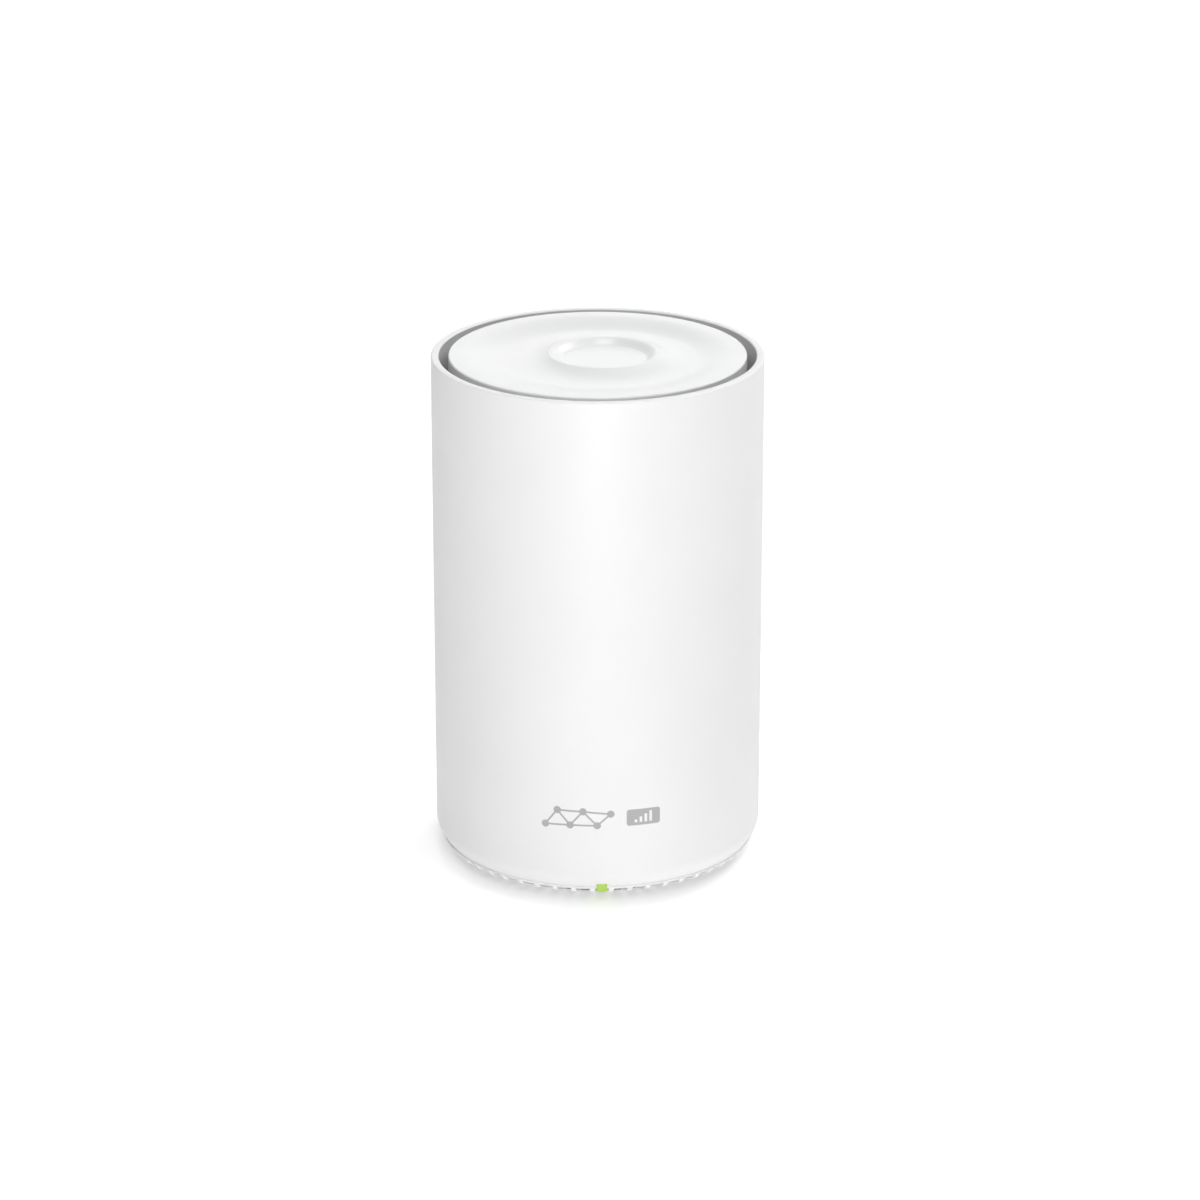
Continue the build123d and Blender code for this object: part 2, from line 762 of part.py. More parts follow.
with BuildPart() as sim_socket:
    socket_rise = sim_socket_floor + sim_slot + sim_socket_roof
    socket_mouth = panel_back - panel_gap
    with BuildSketch(sideways(board_right)):
        with Locations((socket_mouth, sim_height)):
            Rectangle(sim_socket_depth, sim_socket_width, align=(Align.MAX, Align.CENTER))
    extrude(amount=socket_rise)
    with BuildSketch(sideways(board_right + sim_socket_floor)):
        with Locations((sim_end - sim_card_size[1] - sim_push, sim_height)):
            Rectangle(
                sim_socket_depth,
                sim_card_size[2] + 2 * sim_gap,
                align=(Align.MIN, Align.CENTER),
            )
    extrude(amount=sim_slot, mode=Mode.SUBTRACT)
sim_socket.part.label = "sim_socket"
export_step(sim_socket.part, "parts/sim_socket.step")

with BuildPart() as sim_card:
    with BuildSketch(sideways(sim_x - sim_card_size[0] / 2)):
        with Locations((sim_end, sim_height)):
            Rectangle(sim_card_size[1], sim_card_size[2], align=(Align.MAX, Align.CENTER))
    extrude(amount=sim_card_size[0])
    along_x = sim_card.edges().filter_by(Axis.X)
    chamfer(along_x.group_by(Axis.Y)[0].sort_by(Axis.Z)[-1], sim_card_key)
    fillet(sim_card.edges().filter_by(Axis.X).group_by(Axis.Y)[-1], sim_card_round)
sim_card.part.label = "sim_card"
export_step(sim_card.part, "parts/sim_card.step")

# ------------------------------------------------------------------ reset button
with BuildPart() as reset_button:
    with BuildSketch(level(underside_height + button_set_back)):
        with Locations((reset_x, reset_y)):
            Circle(button_radius)
    extrude(amount=guide_top - underside_height - button_set_back)
    with BuildSketch(level(guide_top)):
        with Locations((reset_x, reset_y)):
            Circle(button_flange_radius)
    extrude(amount=button_flange_thickness)
    with BuildSketch(level(guide_top + button_flange_thickness)):
        with Locations((reset_x, reset_y)):
            Circle(button_stem_radius)
    extrude(amount=plunger_low - guide_top - button_flange_thickness)
    fillet(reset_button.edges().group_by(Axis.Z)[0], button_round)
reset_button.part.label = "reset_button"
export_step(reset_button.part, "parts/reset_button.step")

with BuildPart() as reset_switch:
    with BuildSketch(level(switch_low)):
        with Locations((board_right, reset_y)):
            Rectangle(switch_size[0], switch_size[1], align=(Align.MIN, Align.CENTER))
    extrude(amount=switch_size[2])
    with BuildSketch(level(switch_low)):
        with Locations((reset_x, reset_y)):
            Circle(switch_plunger_radius + switch_plunger_gap)
    extrude(amount=switch_bore_depth, mode=Mode.SUBTRACT)
reset_switch.part.label = "reset_switch"
export_step(reset_switch.part, "parts/reset_switch.step")

with BuildPart() as switch_plunger:
    with BuildSketch(level(plunger_low)):
        with Locations((reset_x, reset_y)):
            Circle(switch_plunger_radius)
    extrude(amount=switch_plunger_out + switch_plunger_in)
switch_plunger.part.label = "switch_plunger"
export_step(switch_plunger.part, "parts/switch_plunger.step")

# ------------------------------------------------------------------ status light
light_front = -(lip_radius + light_proud)
light_rear = light_front + light_depth
with BuildPart() as light_pipe:
    with BuildSketch(sideways(-light_width / 2)):
        with BuildLine():
            Polyline(
                (light_front, light_low),
                (light_rear - (light_high - light_low), light_low),
                (light_rear, light_high),
                (light_front, light_high),
                close=True,
            )
        make_face()
    extrude(amount=light_width)
    fillet(light_pipe.edges().filter_by(Axis.X).group_by(Axis.Y)[0], light_round)
light_pipe.part.label = "light_pipe"
export_step(light_pipe.part, "parts/light_pipe.step")

with BuildPart() as led_board:
    with BuildSketch(level(led_board_low)):
        with Locations((0, led_board_rear)):
            Rectangle(led_board_size[0], led_board_size[1], align=(Align.CENTER, Align.MAX))
    extrude(amount=led_board_size[2])
led_board.part.label = "led_board"
export_step(led_board.part, "parts/led_board.step")

with BuildPart() as status_led:
    with BuildSketch(level(led_board_low - led_size[2])):
        with Locations((0, light_rear - led_size[1])):
            Rectangle(led_size[0], led_size[1])
    extrude(amount=led_size[2])
status_led.part.label = "status_led"
export_step(status_led.part, "parts/status_led.step")

header_y = sink_front + header_from_sink
header_z = board_bottom + header_from_board
with BuildPart() as led_header:
    with BuildSketch(sideways(board_right)):
        with Locations((header_y, header_z)):
            Rectangle(header_size[1], header_size[2], align=(Align.MIN, Align.CENTER))
    extrude(amount=header_size[0])
led_header.part.label = "led_header"
export_step(led_header.part, "parts/led_header.step")

led_board_high = led_board_low + led_board_size[2]
plug_in_x = board_right + header_size[0] - 1.4
led_route = [
    (cable_x, cable_y, led_board_high),
    (cable_x, cable_y, led_board_high + 6.0),
    (cable_x - 2.0, cable_y + 6.0, led_board_high + 12.0),
    (plug_in_x, header_y - 4.0, header_z),
    (plug_in_x, header_y, header_z),
]
with BuildPart() as led_cable:
    with BuildLine() as led_line:
        FilletPolyline(*led_route, radius=corner_radii(led_route))
    with BuildSketch(Plane(origin=led_line.line @ 0, z_dir=led_line.line % 0)):
        Circle(led_cable_radius)
    sweep(path=led_line.line)
led_cable.part.label = "led_cable"
export_step(led_cable.part, "parts/led_cable.step")

# ------------------------------------------------------------------ main board and what it carries
with BuildPart() as main_board:
    with BuildSketch(sideways(board_left)):
        with Locations(((board_front + board_rear) / 2, (board_bottom + board_top) / 2)):
            RectangleRounded(board_rear - board_front, board_top - board_bottom, board_corner)
        with Locations(*sink_screws):
            Circle(large_screw[0] + shank_gap, mode=Mode.SUBTRACT)
        with Locations(*board_screw_places):
            Circle(small_screw[0] + shank_gap, mode=Mode.SUBTRACT)
    extrude(amount=board_thickness)
main_board.part.label = "main_board"
export_step(main_board.part, "parts/main_board.step")

# Chips on the +X side: (y, z, depth, height) of each footprint
cpu_spot = (sink_middle - 6, sink_centre + 16, 14.0, 14.0)
memory_spots = [
    (sink_middle + 9, sink_centre + 20, 8.0, 11.0),
    (sink_middle + 9, sink_centre + 7, 8.0, 11.0),
]
wifi_spot = (sink_middle - 2, sink_centre - 22, 12.0, 12.0)
cpu_shield_spot = (sink_middle, sink_centre + 14, 32.0, 32.0)
wifi_shield_spot = (sink_middle, sink_centre - 22, 32.0, 26.0)
module_spot = (sink_middle - 2, sink_centre + 24)

with BuildPart() as cpu_chip:
    with BuildSketch(sideways(board_right)):
        with Locations(cpu_spot[:2]):
            Rectangle(*cpu_spot[2:])
    extrude(amount=chip_height)
cpu_chip.part.label = "cpu_chip"
export_step(cpu_chip.part, "parts/cpu_chip.step")

with BuildPart() as memory_chips:
    with BuildSketch(sideways(board_right)):
        for y, z, deep, high in memory_spots:
            with Locations((y, z)):
                Rectangle(deep, high)
    extrude(amount=memory_height)
memory_chips.part.label = "memory_chips"
export_step(memory_chips.part, "parts/memory_chips.step")

with BuildPart() as wifi_chip:
    with BuildSketch(sideways(board_right)):
        with Locations(wifi_spot[:2]):
            Rectangle(*wifi_spot[2:])
    extrude(amount=chip_height)
wifi_chip.part.label = "wifi_chip"
export_step(wifi_chip.part, "parts/wifi_chip.step")

for name, (y, z, deep, high) in (("cpu_shield", cpu_shield_spot), ("wifi_shield", wifi_shield_spot)):
    with BuildPart() as shield:
        with BuildSketch(sideways(board_right)):
            with Locations((y, z)):
                Rectangle(deep, high)
        extrude(amount=shield_top - board_right)
        with BuildSketch(sideways(board_right)):
            with Locations((y, z)):
                Rectangle(deep - 2 * shield_sheet, high - 2 * shield_sheet)
        extrude(amount=chip_height + inner_pad, mode=Mode.SUBTRACT)
    shield.part.label = name
    export_step(shield.part, f"parts/{name}.step")

with BuildPart() as thermal_pads:
    for y, z, deep, high in (cpu_spot, wifi_spot):
        with BuildSketch(sideways(board_right + chip_height)):
            with Locations((y, z)):
                Rectangle(deep - 2 * inner_pad_inset, high - 2 * inner_pad_inset)
        extrude(amount=inner_pad)
        with BuildSketch(sideways(shield_top)):
            with Locations((y, z)):
                Rectangle(deep + 2 * outer_pad_margin, high + 2 * outer_pad_margin)
        extrude(amount=outer_pad)
thermal_pads.part.label = "thermal_pads"
export_step(thermal_pads.part, "parts/thermal_pads.step")

with BuildPart() as modem_module:
    with BuildSketch(sideways(board_left)):
        with Locations(module_spot):
            RectangleRounded(module_size[1], module_size[2], module_corner)
    extrude(amount=-module_size[0])
modem_module.part.label = "modem_module"
export_step(modem_module.part, "parts/modem_module.step")

with BuildPart() as modem_pad:
    with BuildSketch(sideways(board_left - module_size[0])):
        with Locations(module_spot):
            Rectangle(module_size[1] - 2 * module_pad_inset, module_size[2] - 2 * module_pad_inset)
    extrude(amount=-module_pad)
modem_pad.part.label = "modem_pad"
export_step(modem_pad.part, "parts/modem_pad.step")

sink_depth = sink_rear - sink_front
fin_pitch = (sink_depth - sink_fin) / (sink_fin_count - 1)
for name, face, away in (("heat_sink_right", right_sink_face, 1), ("heat_sink_left", left_sink_face, -1)):
    tip = away * sink_reach
    board_face = board_right if away > 0 else board_left
    with BuildPart() as heat_sink:
        with BuildSketch(level(sink_low)):
            with Locations((face + away * sink_sheet / 2, sink_middle)):
                Rectangle(sink_sheet, sink_depth)
            for i in range(sink_fin_count):
                with Locations(((face + tip) / 2, sink_front + sink_fin / 2 + i * fin_pitch)):
                    Rectangle(abs(tip - face), sink_fin)
        extrude(amount=sink_high - sink_low)
        with BuildSketch(sideways(face)):
            with Locations(*sink_screws):
                Circle(sink_post_radius)
        extrude(amount=board_face - face)
        with BuildSketch(sideways(face + away * sink_sheet)):
            with Locations(*sink_screws):
                Circle(large_screw[1] + head_gap)
        extrude(amount=away * (sink_reach - abs(face) - sink_sheet / 2), mode=Mode.SUBTRACT)
        with BuildSketch(sideways(board_face)):
            with Locations(*sink_screws):
                Circle(large_screw[0] + (shank_gap if away > 0 else thread_gap))
        extrude(amount=face + away * sink_sheet - board_face, mode=Mode.SUBTRACT)
    heat_sink.part.label = name
    export_step(heat_sink.part, f"parts/{name}.step")

with BuildPart() as lan_transformers:
    with BuildSketch(sideways(board_left)):
        with Locations(*[(sink_middle + transformer_offset, z) for z in lan_heights]):
            Rectangle(transformer_size[1], transformer_size[2])
    extrude(amount=-transformer_size[0])
lan_transformers.part.label = "lan_transformers"
export_step(lan_transformers.part, "parts/lan_transformers.step")

# Power parts in two rows beside the power inlet, clear of the reset switch
capacitor_y = reset_y - switch_size[1] / 2 - capacitor_to_switch - capacitor_radius
power_low = dc_height - below_inlet
power_high = power_low + capacitor_pitch
with BuildPart() as capacitors:
    with BuildSketch(sideways(board_right)):
        with Locations(
            (capacitor_y, power_low),
            (capacitor_y - capacitor_pitch, power_low),
            (capacitor_y, power_high),
        ):
            Circle(capacitor_radius)
    extrude(amount=capacitor_height)
    fillet(capacitors.edges().group_by(Axis.X)[-1], capacitor_round)
capacitors.part.label = "capacitors"
export_step(capacitors.part, "parts/capacitors.step")

with BuildPart() as inductors:
    with BuildSketch(sideways(board_right)):
        with Locations((sink_middle, power_low), (sink_middle, power_high)):
            RectangleRounded(inductor_size[1], inductor_size[2], inductor_corner)
    extrude(amount=inductor_size[0])
inductors.part.label = "inductors"
export_step(inductors.part, "parts/inductors.step")

# ------------------------------------------------------------------ antennas
for name, first_angle in (("wifi_antennas", -45), ("modem_antennas", 135)):
    with BuildPart() as antennas:
        with BuildSketch(level(upper_deck_height - antenna_drop - antenna_size[2])):
            with PolarLocations(frame_radius + antenna_size[0] / 2, 2, first_angle, 90, endpoint=True):
                Rectangle(antenna_size[0], antenna_size[1])
        extrude(amount=antenna_size[2])
    antennas.part.label = name
    export_step(antennas.part, f"parts/{name}.step")

with BuildPart() as antenna_plugs:
    for face, away in ((board_right, 1), (board_left, -1)):
        with BuildSketch(sideways(face)):
            with Locations((-plug_spread, plug_height_on_board), (plug_spread, plug_height_on_board)):
                Circle(plug_radius)
        extrude(amount=away * plug_height)
antenna_plugs.part.label = "antenna_plugs"
export_step(antenna_plugs.part, "parts/antenna_plugs.step")

feed_end = frame_radius * math.sqrt(0.5)
feed_turn = (frame_radius - feed_turn_inset) * math.sqrt(0.5)
for name, face, away in (
    ("wifi_antenna_cables", board_right, 1),
    ("modem_antenna_cables", board_left, -1),
):
    with BuildPart() as coax:
        for front in (-1, 1):
            start_x = face + away * (coax_radius + coax_rise)
            coax_route = [
                (start_x, front * (plug_spread + plug_radius), plug_height_on_board),
                (start_x + away * 0.4, front * (plug_spread + plug_radius + 8.0), plug_height_on_board),
                ((start_x + away * feed_turn) / 2, front * feed_turn, plug_height_on_board - 1.5),
                (away * feed_turn, front * feed_turn, feed_height),
                (away * feed_end, front * feed_end, feed_height),
            ]
            with BuildLine() as coax_line:
                FilletPolyline(*coax_route, radius=corner_radii(coax_route))
            with BuildSketch(Plane(origin=coax_line.line @ 0, z_dir=coax_line.line % 0)):
                Circle(coax_radius)
            sweep(path=coax_line.line)
    coax.part.label = name
    export_step(coax.part, f"parts/{name}.step")

# ------------------------------------------------------------------ screws
with BuildPart() as base_screws:
    with BuildSketch(level(groove_top)):
        with PolarLocations(foot_screw_circle, 4, start_angle=45):
            Circle(large_screw[1])
    extrude(amount=large_screw[2])
    with BuildSketch(level(groove_top)):
        with PolarLocations(foot_screw_circle, 4, start_angle=45):
            Circle(large_screw[0])
    extrude(amount=lower_deck_top + boss_height - tip_gap - groove_top)
base_screws.part.label = "base_screws"
export_step(base_screws.part, "parts/base_screws.step")

with BuildPart() as cover_screws:
    with BuildSketch(level(upper_deck_height - large_screw[2])):
        with PolarLocations(cover_screw_circle, 4):
            Circle(large_screw[1])
    extrude(amount=large_screw[2])
    with BuildSketch(level(upper_deck_height)):
        with PolarLocations(cover_screw_circle, 4):
            Circle(large_screw[0])
    extrude(amount=deck_thickness + cover_skirt - tip_gap)
cover_screws.part.label = "cover_screws"
export_step(cover_screws.part, "parts/cover_screws.step")

with BuildPart() as panel_screws:
    with BuildSketch(upright(panel_face)):
        with Locations(*panel_screw_places):
            Circle(small_screw[1])
    extrude(amount=-small_screw[2])
    with BuildSketch(upright(panel_face)):
        with Locations(*panel_screw_places):
            Circle(small_screw[0])
    extrude(amount=panel_sheet + panel_rail_depth - tip_gap)
panel_screws.part.label = "panel_screws"
export_step(panel_screws.part, "parts/panel_screws.step")

with BuildPart() as board_screws:
    rail_face = board_middle + rail_width / 2
    with BuildSketch(sideways(rail_face)):
        with Locations(*board_screw_places):
            Circle(small_screw[1])
    extrude(amount=small_screw[2])
    with BuildSketch(sideways(rail_face)):
        with Locations(*board_screw_places):
            Circle(small_screw[0])
    extrude(amount=-rail_width)
board_screws.part.label = "board_screws"
export_step(board_screws.part, "parts/board_screws.step")

with BuildPart() as sink_screws_set:
    right_outside = right_sink_face + sink_sheet
    left_outside = left_sink_face - sink_sheet
    with BuildSketch(sideways(right_outside)):
        with Locations(*sink_screws):
            Circle(large_screw[1])
    extrude(amount=large_screw[2])
    with BuildSketch(sideways(left_outside)):
        with Locations(*sink_screws):
            Circle(large_screw[0])
    extrude(amount=right_outside - left_outside)
sink_screws_set.part.label = "heat_sink_screws"
export_step(sink_screws_set.part, "parts/heat_sink_screws.step")

print("coax arc radii", [round(r, 1) for r in corner_radii(coax_route)])
print("status light cable arc radii", [round(r, 1) for r in corner_radii(led_route)])
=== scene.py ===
import json
import math

import bmesh
import bpy
from mathutils import Matrix, Vector


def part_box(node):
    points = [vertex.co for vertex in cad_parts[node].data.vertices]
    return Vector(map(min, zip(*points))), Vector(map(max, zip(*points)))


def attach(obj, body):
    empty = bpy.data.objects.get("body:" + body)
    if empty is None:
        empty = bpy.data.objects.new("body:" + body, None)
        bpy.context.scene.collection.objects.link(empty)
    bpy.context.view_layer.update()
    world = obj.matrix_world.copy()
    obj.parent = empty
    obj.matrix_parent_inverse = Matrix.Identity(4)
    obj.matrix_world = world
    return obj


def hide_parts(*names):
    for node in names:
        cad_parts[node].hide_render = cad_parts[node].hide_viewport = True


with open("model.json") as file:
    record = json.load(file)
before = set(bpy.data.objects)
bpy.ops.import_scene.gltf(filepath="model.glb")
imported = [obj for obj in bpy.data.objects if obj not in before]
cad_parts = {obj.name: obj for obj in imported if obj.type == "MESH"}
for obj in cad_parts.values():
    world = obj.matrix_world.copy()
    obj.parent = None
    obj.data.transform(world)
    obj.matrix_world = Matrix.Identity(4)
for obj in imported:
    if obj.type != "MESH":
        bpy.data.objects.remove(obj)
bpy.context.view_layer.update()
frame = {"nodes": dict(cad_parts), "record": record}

MM = 0.001
FULL_TURN = 2 * math.pi
SPIN_STEPS = 288                # sides of the large turned pieces
ARC_STEP = math.radians(15)     # turn of one side of a rounded corner
MERGE_DISTANCE = 1e-7
SLIVER_AREA = 1e-14
SHARP_ANGLE = 35                # degrees between two faces, above which their edge is shaded sharp
SOFTENED_ANGLE = math.radians(50)

# ------------------------------------------------------------------ roundings that several pieces share
SLIGHT = 0.05 * MM
FINE = 0.1 * MM
SMALL = 0.15 * MM
SOFT = 0.2 * MM
FULL = 0.3 * MM

# ------------------------------------------------------------------ sleeve sizes
SKIN = 0.02 * MM                # how far the visible skin stays inside the frame's box
RIM_WALL = 2.6 * MM
RIM_OUTER_ROUND = 0.65 * MM
RIM_INNER_ROUND = 0.45 * MM
LIP_WALL = 1.25 * MM
LIP_ROUND = 0.45 * MM
LIP_DRAW_IN = 2.1 * MM          # how much narrower the lip is than the sleeve
LIP_LAND = 0.35 * MM            # upright band at the lip
LIP_TAPER = 4.4 * MM            # height over which the wall thins towards the lip
LIP_TAPER_ROUND = 2 * MM
BEAD_STEP = 0.35 * MM           # shelf above the upright band, which catches the light
BEAD_RISE = 0.25 * MM
FOOT_BEND_RADIUS = 7.0 * MM
FOOT_BEND_ANGLE = math.radians(32)
FOOT_BEND_STEPS = 14
RECESS_WIDTH = 22.4 * MM
RECESS_LENGTH = 100.4 * MM
RECESS_CUT = (40 * MM, 60 * MM)     # the cutter's near and far y
LIGHT_CUT = (-60 * MM, -45 * MM)
LIGHT_CUT_BELOW_LIP = 5 * MM
LIGHT_GAP = 0.1 * MM
GAP_SHADE_BELOW_RIM = 0.6 * MM       # where the painted shade on the gap's wall starts
GAP_SHADE_MARGIN = 0.3 * MM

# ------------------------------------------------------------------ top cover sizes
RING_CENTRE = Vector((2.2 * MM, 1.5 * MM))
RING_FLOOR = 13.4 * MM
RING_DEPTH = 1.9 * MM
CREST_INNER = 16.9 * MM
CREST_OUTER = 18.1 * MM
FLARE_POWER = 3.0               # how fast the ring's outer side runs out into the dish
DISH_DEPTH = 2.0 * MM
DISH_LOW = 31.0 * MM
DISH_EDGE = 44.6 * MM
FINE_PITCH = 0.2 * MM           # spacing of the cover's circles at the ring, and elsewhere
COARSE_PITCH = 0.7 * MM
FINE_INSIDE = 1 * MM            # how far inside and outside the ring the fine spacing reaches
FINE_OUTSIDE = 2 * MM
COVER_SHEET = 2.0 * MM
COVER_EDGE_ROUND = 0.6 * MM
COVER_SHARP_ANGLE = 30
SKIRT_DROP = 10 * MM
SKIRT_ROUND = 0.4 * MM

# ------------------------------------------------------------------ base sizes
UNDERSIDE = 0.8 * MM
TRAY_SHEET = 2.2 * MM
LABEL_RECESS = 0.2 * MM
LABEL_RECESS_RADIUS = 20.1 * MM
GROOVE_INNER = 33.9 * MM
GROOVE_GAP = 0.1 * MM
CONE_RUN = 1.77                 # how far out the base's cone goes for each step up
SPIGOT_GAP = 0.1 * MM
SPIGOT_WALL = 2.0 * MM
SPIGOT_BELOW_TOP = 2 * MM
SPIGOT_TOE = 1.0 * MM
SPIGOT_TOE_RISE = 1.2 * MM
SPIGOT_HEEL_RISE = 2 * MM
FIN_COUNT = 52
FIN_THICKNESS = 1.7 * MM
FIN_FOOT = 0.65 * MM
FIN_ROOT = 1.5 * FIN_FOOT       # how far inside the cone's foot the fins start
FIN_NOSE_INSET = 0.3 * MM
FIN_NOSE_DROP = 0.6 * MM
FIN_NOSE_SLOPE = 1.3 * MM
FIN_LIP_GAP = 0.04 * MM
FIN_HEAD_INSET = 0.5 * MM
FIN_HEAD_RISE = 1.5 * MM
FIN_SOFTENING = 0.12 * MM
# reach of the slots' painted shade about the tray's edge
SLOT_SHADE_MARGIN = 0.1 * MM

# ------------------------------------------------------------------ button and foot sizes
BUTTON_HOLE = 2.2 * MM
BUTTON_HOLE_SIDES = 48
BUTTON_SIDES = 64
BUTTON_RADIUS = 2.05 * MM
BUTTON_DISH = 0.25 * MM
BUTTON_DISH_ROUND = 0.8 * MM
BUTTON_DISH_BEND = (1.2 * MM, 0.15 * MM)    # radius, and height above the button's end
BUTTON_DISH_EDGE = 1.5 * MM
BUTTON_FLANGE_RISE = 5.2 * MM
BUTTON_FLANGE = 1 * MM
BUTTON_STEM_RADIUS = 1.1 * MM
FOOT_INNER = 34.0 * MM
FOOT_EDGE_ROUND = 0.5 * MM
SOLE_BANDS = 4                  # bands of the sole, with a groove between each and the next
SOLE_GROOVE_MOUTH = 0.3 * MM    # half of the groove's width, at its mouth and at its bottom
SOLE_GROOVE_BOTTOM = 0.2 * MM
SOLE_GROOVE_DEPTH = 0.3 * MM

# ------------------------------------------------------------------ socket panel and socket sizes
PANEL_SHEET = 2.0 * MM
PANEL_WIDTH = 22.0 * MM
PANEL_LENGTH = 100.0 * MM
PANEL_ROUND = 0.3 * MM
COLLAR_WALL = 1.6 * MM
COLLAR_ROUND = 0.35 * MM
COLLAR_BEND = 0.3 * COLLAR_ROUND    # middle point of the collar's rounded edges
COLLAR_SINK = 0.5 * MM              # how far the collar's foot sits in the plate
COLLAR_OVERLAP = 0.02 * MM
COLLAR_STEPS = 40
SOCKET_GAP = 0.2 * MM
CARD_GAP = Vector((0.32, 0, 0.4)) * MM
WINDOW_SOFTENING = 0.15 * MM
LAN_MOUTH_LOW = 1.5 * MM
LAN_MOUTH_RISE = 7.2 * MM
LAN_MOUTH_WIDTH = 11.9 * MM
LAN_LATCH_RISE = 2.6 * MM
LAN_LATCH_WIDTH = 6.4 * MM
LAN_KEY_RISE = 1.2 * MM
LAN_KEY_WIDTH = 3.0 * MM
LAN_DEPTH = 14.0 * MM
LAN_SOFTENING = 0.25 * MM
DC_BORE = 3.15 * MM
DC_BORE_SIDES = 64
DC_DEPTH = 10.0 * MM
DC_FLARE = 0.7 * MM             # how much the bore widens at its mouth
DC_FLARE_DEPTH = 0.6 * MM
DC_SOFTENING = 0.2 * MM
DC_PIN_SIDES = 40
DC_PIN_TAPER = 0.9 * MM
DC_PIN_TAPER_ROUND = 0.4 * MM
DC_PIN_TIP = 0.55               # share of the pin's radius
DC_PIN_TIP_ROUND = 0.35 * MM

# ------------------------------------------------------------------ card sizes
CARD_KEY = 1.67 * MM            # leg of the cut corner
CARD_CORNER = 0.8 * MM
CARD_SOFTENING = 0.06 * MM
PAD_THICKNESS = 0.03 * MM
PAD_DEPTH = 2.0 * MM
PAD_WIDTH = 1.7 * MM
PAD_ROW_OFFSET = 3.0 * MM
PAD_PITCH = 2.54 * MM
PAD_ROUND = 0.01 * MM

# ------------------------------------------------------------------ print sizes, in mm from its middle
PRINT_HEIGHT = 31.5 * MM
PRINT_LIFT = 0.012 * MM
BARS_LIFT = 0.004 * MM          # the bars lie on the badge
PRINT_REACH = 22                # how far its slices go to each side
CHAIN_DOTS = [(-18.6, -2.4), (-14.6, 2.8), (-10.4, -2.2), (-6.2, 2.6), (-1.6, -2.2), (2.8, 1.8)]
CHAIN_DOT_RADIUS = 1.25
CHAIN_DOT_SIDES = 32
CHAIN_LINE = 0.6
BADGE_LOW = (8.0, -2.6)
BADGE_HIGH = (19.2, 3.0)
BADGE_ROUND = 0.9
BAR_COUNT = 4
BAR_START = 10.6
BAR_PITCH = 1.65
BAR_WIDTH = 0.9
BAR_FOOT = -1.6
BAR_TOP = -0.6                  # top of the first bar
BAR_RISE = 0.9
FLAT_SHADED = 180               # no edge of the print is shaded sharp

LIGHT_ROUND = 0.25 * MM

# ------------------------------------------------------------------ studio, in metres and watts
FLOOR_SIZE = 60.0
FLOOR_WHITE = 0.9
GLOW_START = 0.4                # the floor's own glow grows between these distances
GLOW_END = 2.0
NEAR_GLOW = 0.37
FAR_GLOW = 0.92
REFLECTED_SURROUND = 0.6
LIGHT_AIM = 0.09
LIGHTS = [
    # name, azimuth, elevation, distance, (width, height), power
    ("front_low", 0, 0, 1.6, (0.6, 0.15), 5.5),
    ("front", 0, 35, 1.6, (0.4, 0.6), 7.0),
    ("front_top", 0, 60, 1.3, (1.4, 0.6), 4.0),
    ("overhead", 0, 90, 1.3, (0.3, 0.3), 4.7),
    ("back_low", 180, 20, 1.5, (1.6, 0.5), 2.8),
    ("back_left", -130, 40, 1.5, (0.8, 0.8), 2.1),
    ("back_right", 130, 40, 1.5, (0.8, 0.8), 9.7),
]
CAMERA_PLACE = (-33.8 * MM, -1319.3 * MM, 570.2 * MM)
CAMERA_YAW = math.radians(1.5)
CAMERA_PITCH = 0.3509
CAMERA_LENS = 127.8
CAMERA_SENSOR = 36.0


# ------------------------------------------------------------------ mesh helpers
def rounded(corners):
    """Points of an outline from its (x, z, radius) corners: one with a radius becomes a short arc."""
    points = []
    for i, (x, z, radius) in enumerate(corners):
        if radius == 0:
            points.append((x, z))
            continue
        here = Vector((x, z))
        before = Vector(corners[i - 1][:2]) - here
        after = Vector(corners[(i + 1) % len(corners)][:2]) - here
        half = before.angle(after) / 2
        before.normalize()
        after.normalize()
        reach = radius / math.tan(half)
        start = here + before * reach
        centre = here + (before + after).normalized() * radius / math.sin(half)
        sweep = (start - centre).angle_signed(here + after * reach - centre)
        steps = max(2, round(abs(sweep) / ARC_STEP))
        for step in range(steps + 1):
            turned = Matrix.Rotation(-sweep * step / steps, 2) @ (start - centre)
            points.append(tuple(centre + turned))
    return points


def stadium(width, length, steps=24):
    """Outline of an upright stadium about the origin, as (x, z) points."""
    radius = width / 2
    straight = length / 2 - radius
    points = []
    for end in (1, -1):
        for step in range(steps + 1):
            angle = math.pi * step / steps
            points.append((end * radius * math.cos(angle), end * (straight + radius * math.sin(angle))))
    return points


def link(name, mesh):
    """A new object in the scene for a mesh."""
    thing = bpy.data.objects.new(name, mesh)
    bpy.context.scene.collection.objects.link(thing)
    return thing


def finish_piece(bm, name, sharp=SHARP_ANGLE, body="housing"):
    """Turns a bmesh into a smooth-shaded piece that rides on a body."""
    bmesh.ops.remove_doubles(bm, verts=bm.verts, dist=MERGE_DISTANCE)
    bmesh.ops.recalc_face_normals(bm, faces=bm.faces)
    mesh = bpy.data.meshes.new(name)
    bm.to_mesh(mesh)
    bm.free()
    mesh.shade_smooth()
    mesh.set_sharp_from_angle(angle=math.radians(sharp))
    piece = link(name, mesh)
    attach(piece, body)
    return piece


def reopen(piece):
    """The piece's mesh as a bmesh, for more work; the piece itself goes."""
    bm = bmesh.new()
    bm.from_mesh(piece.data)
    bpy.data.objects.remove(piece)
    return bm


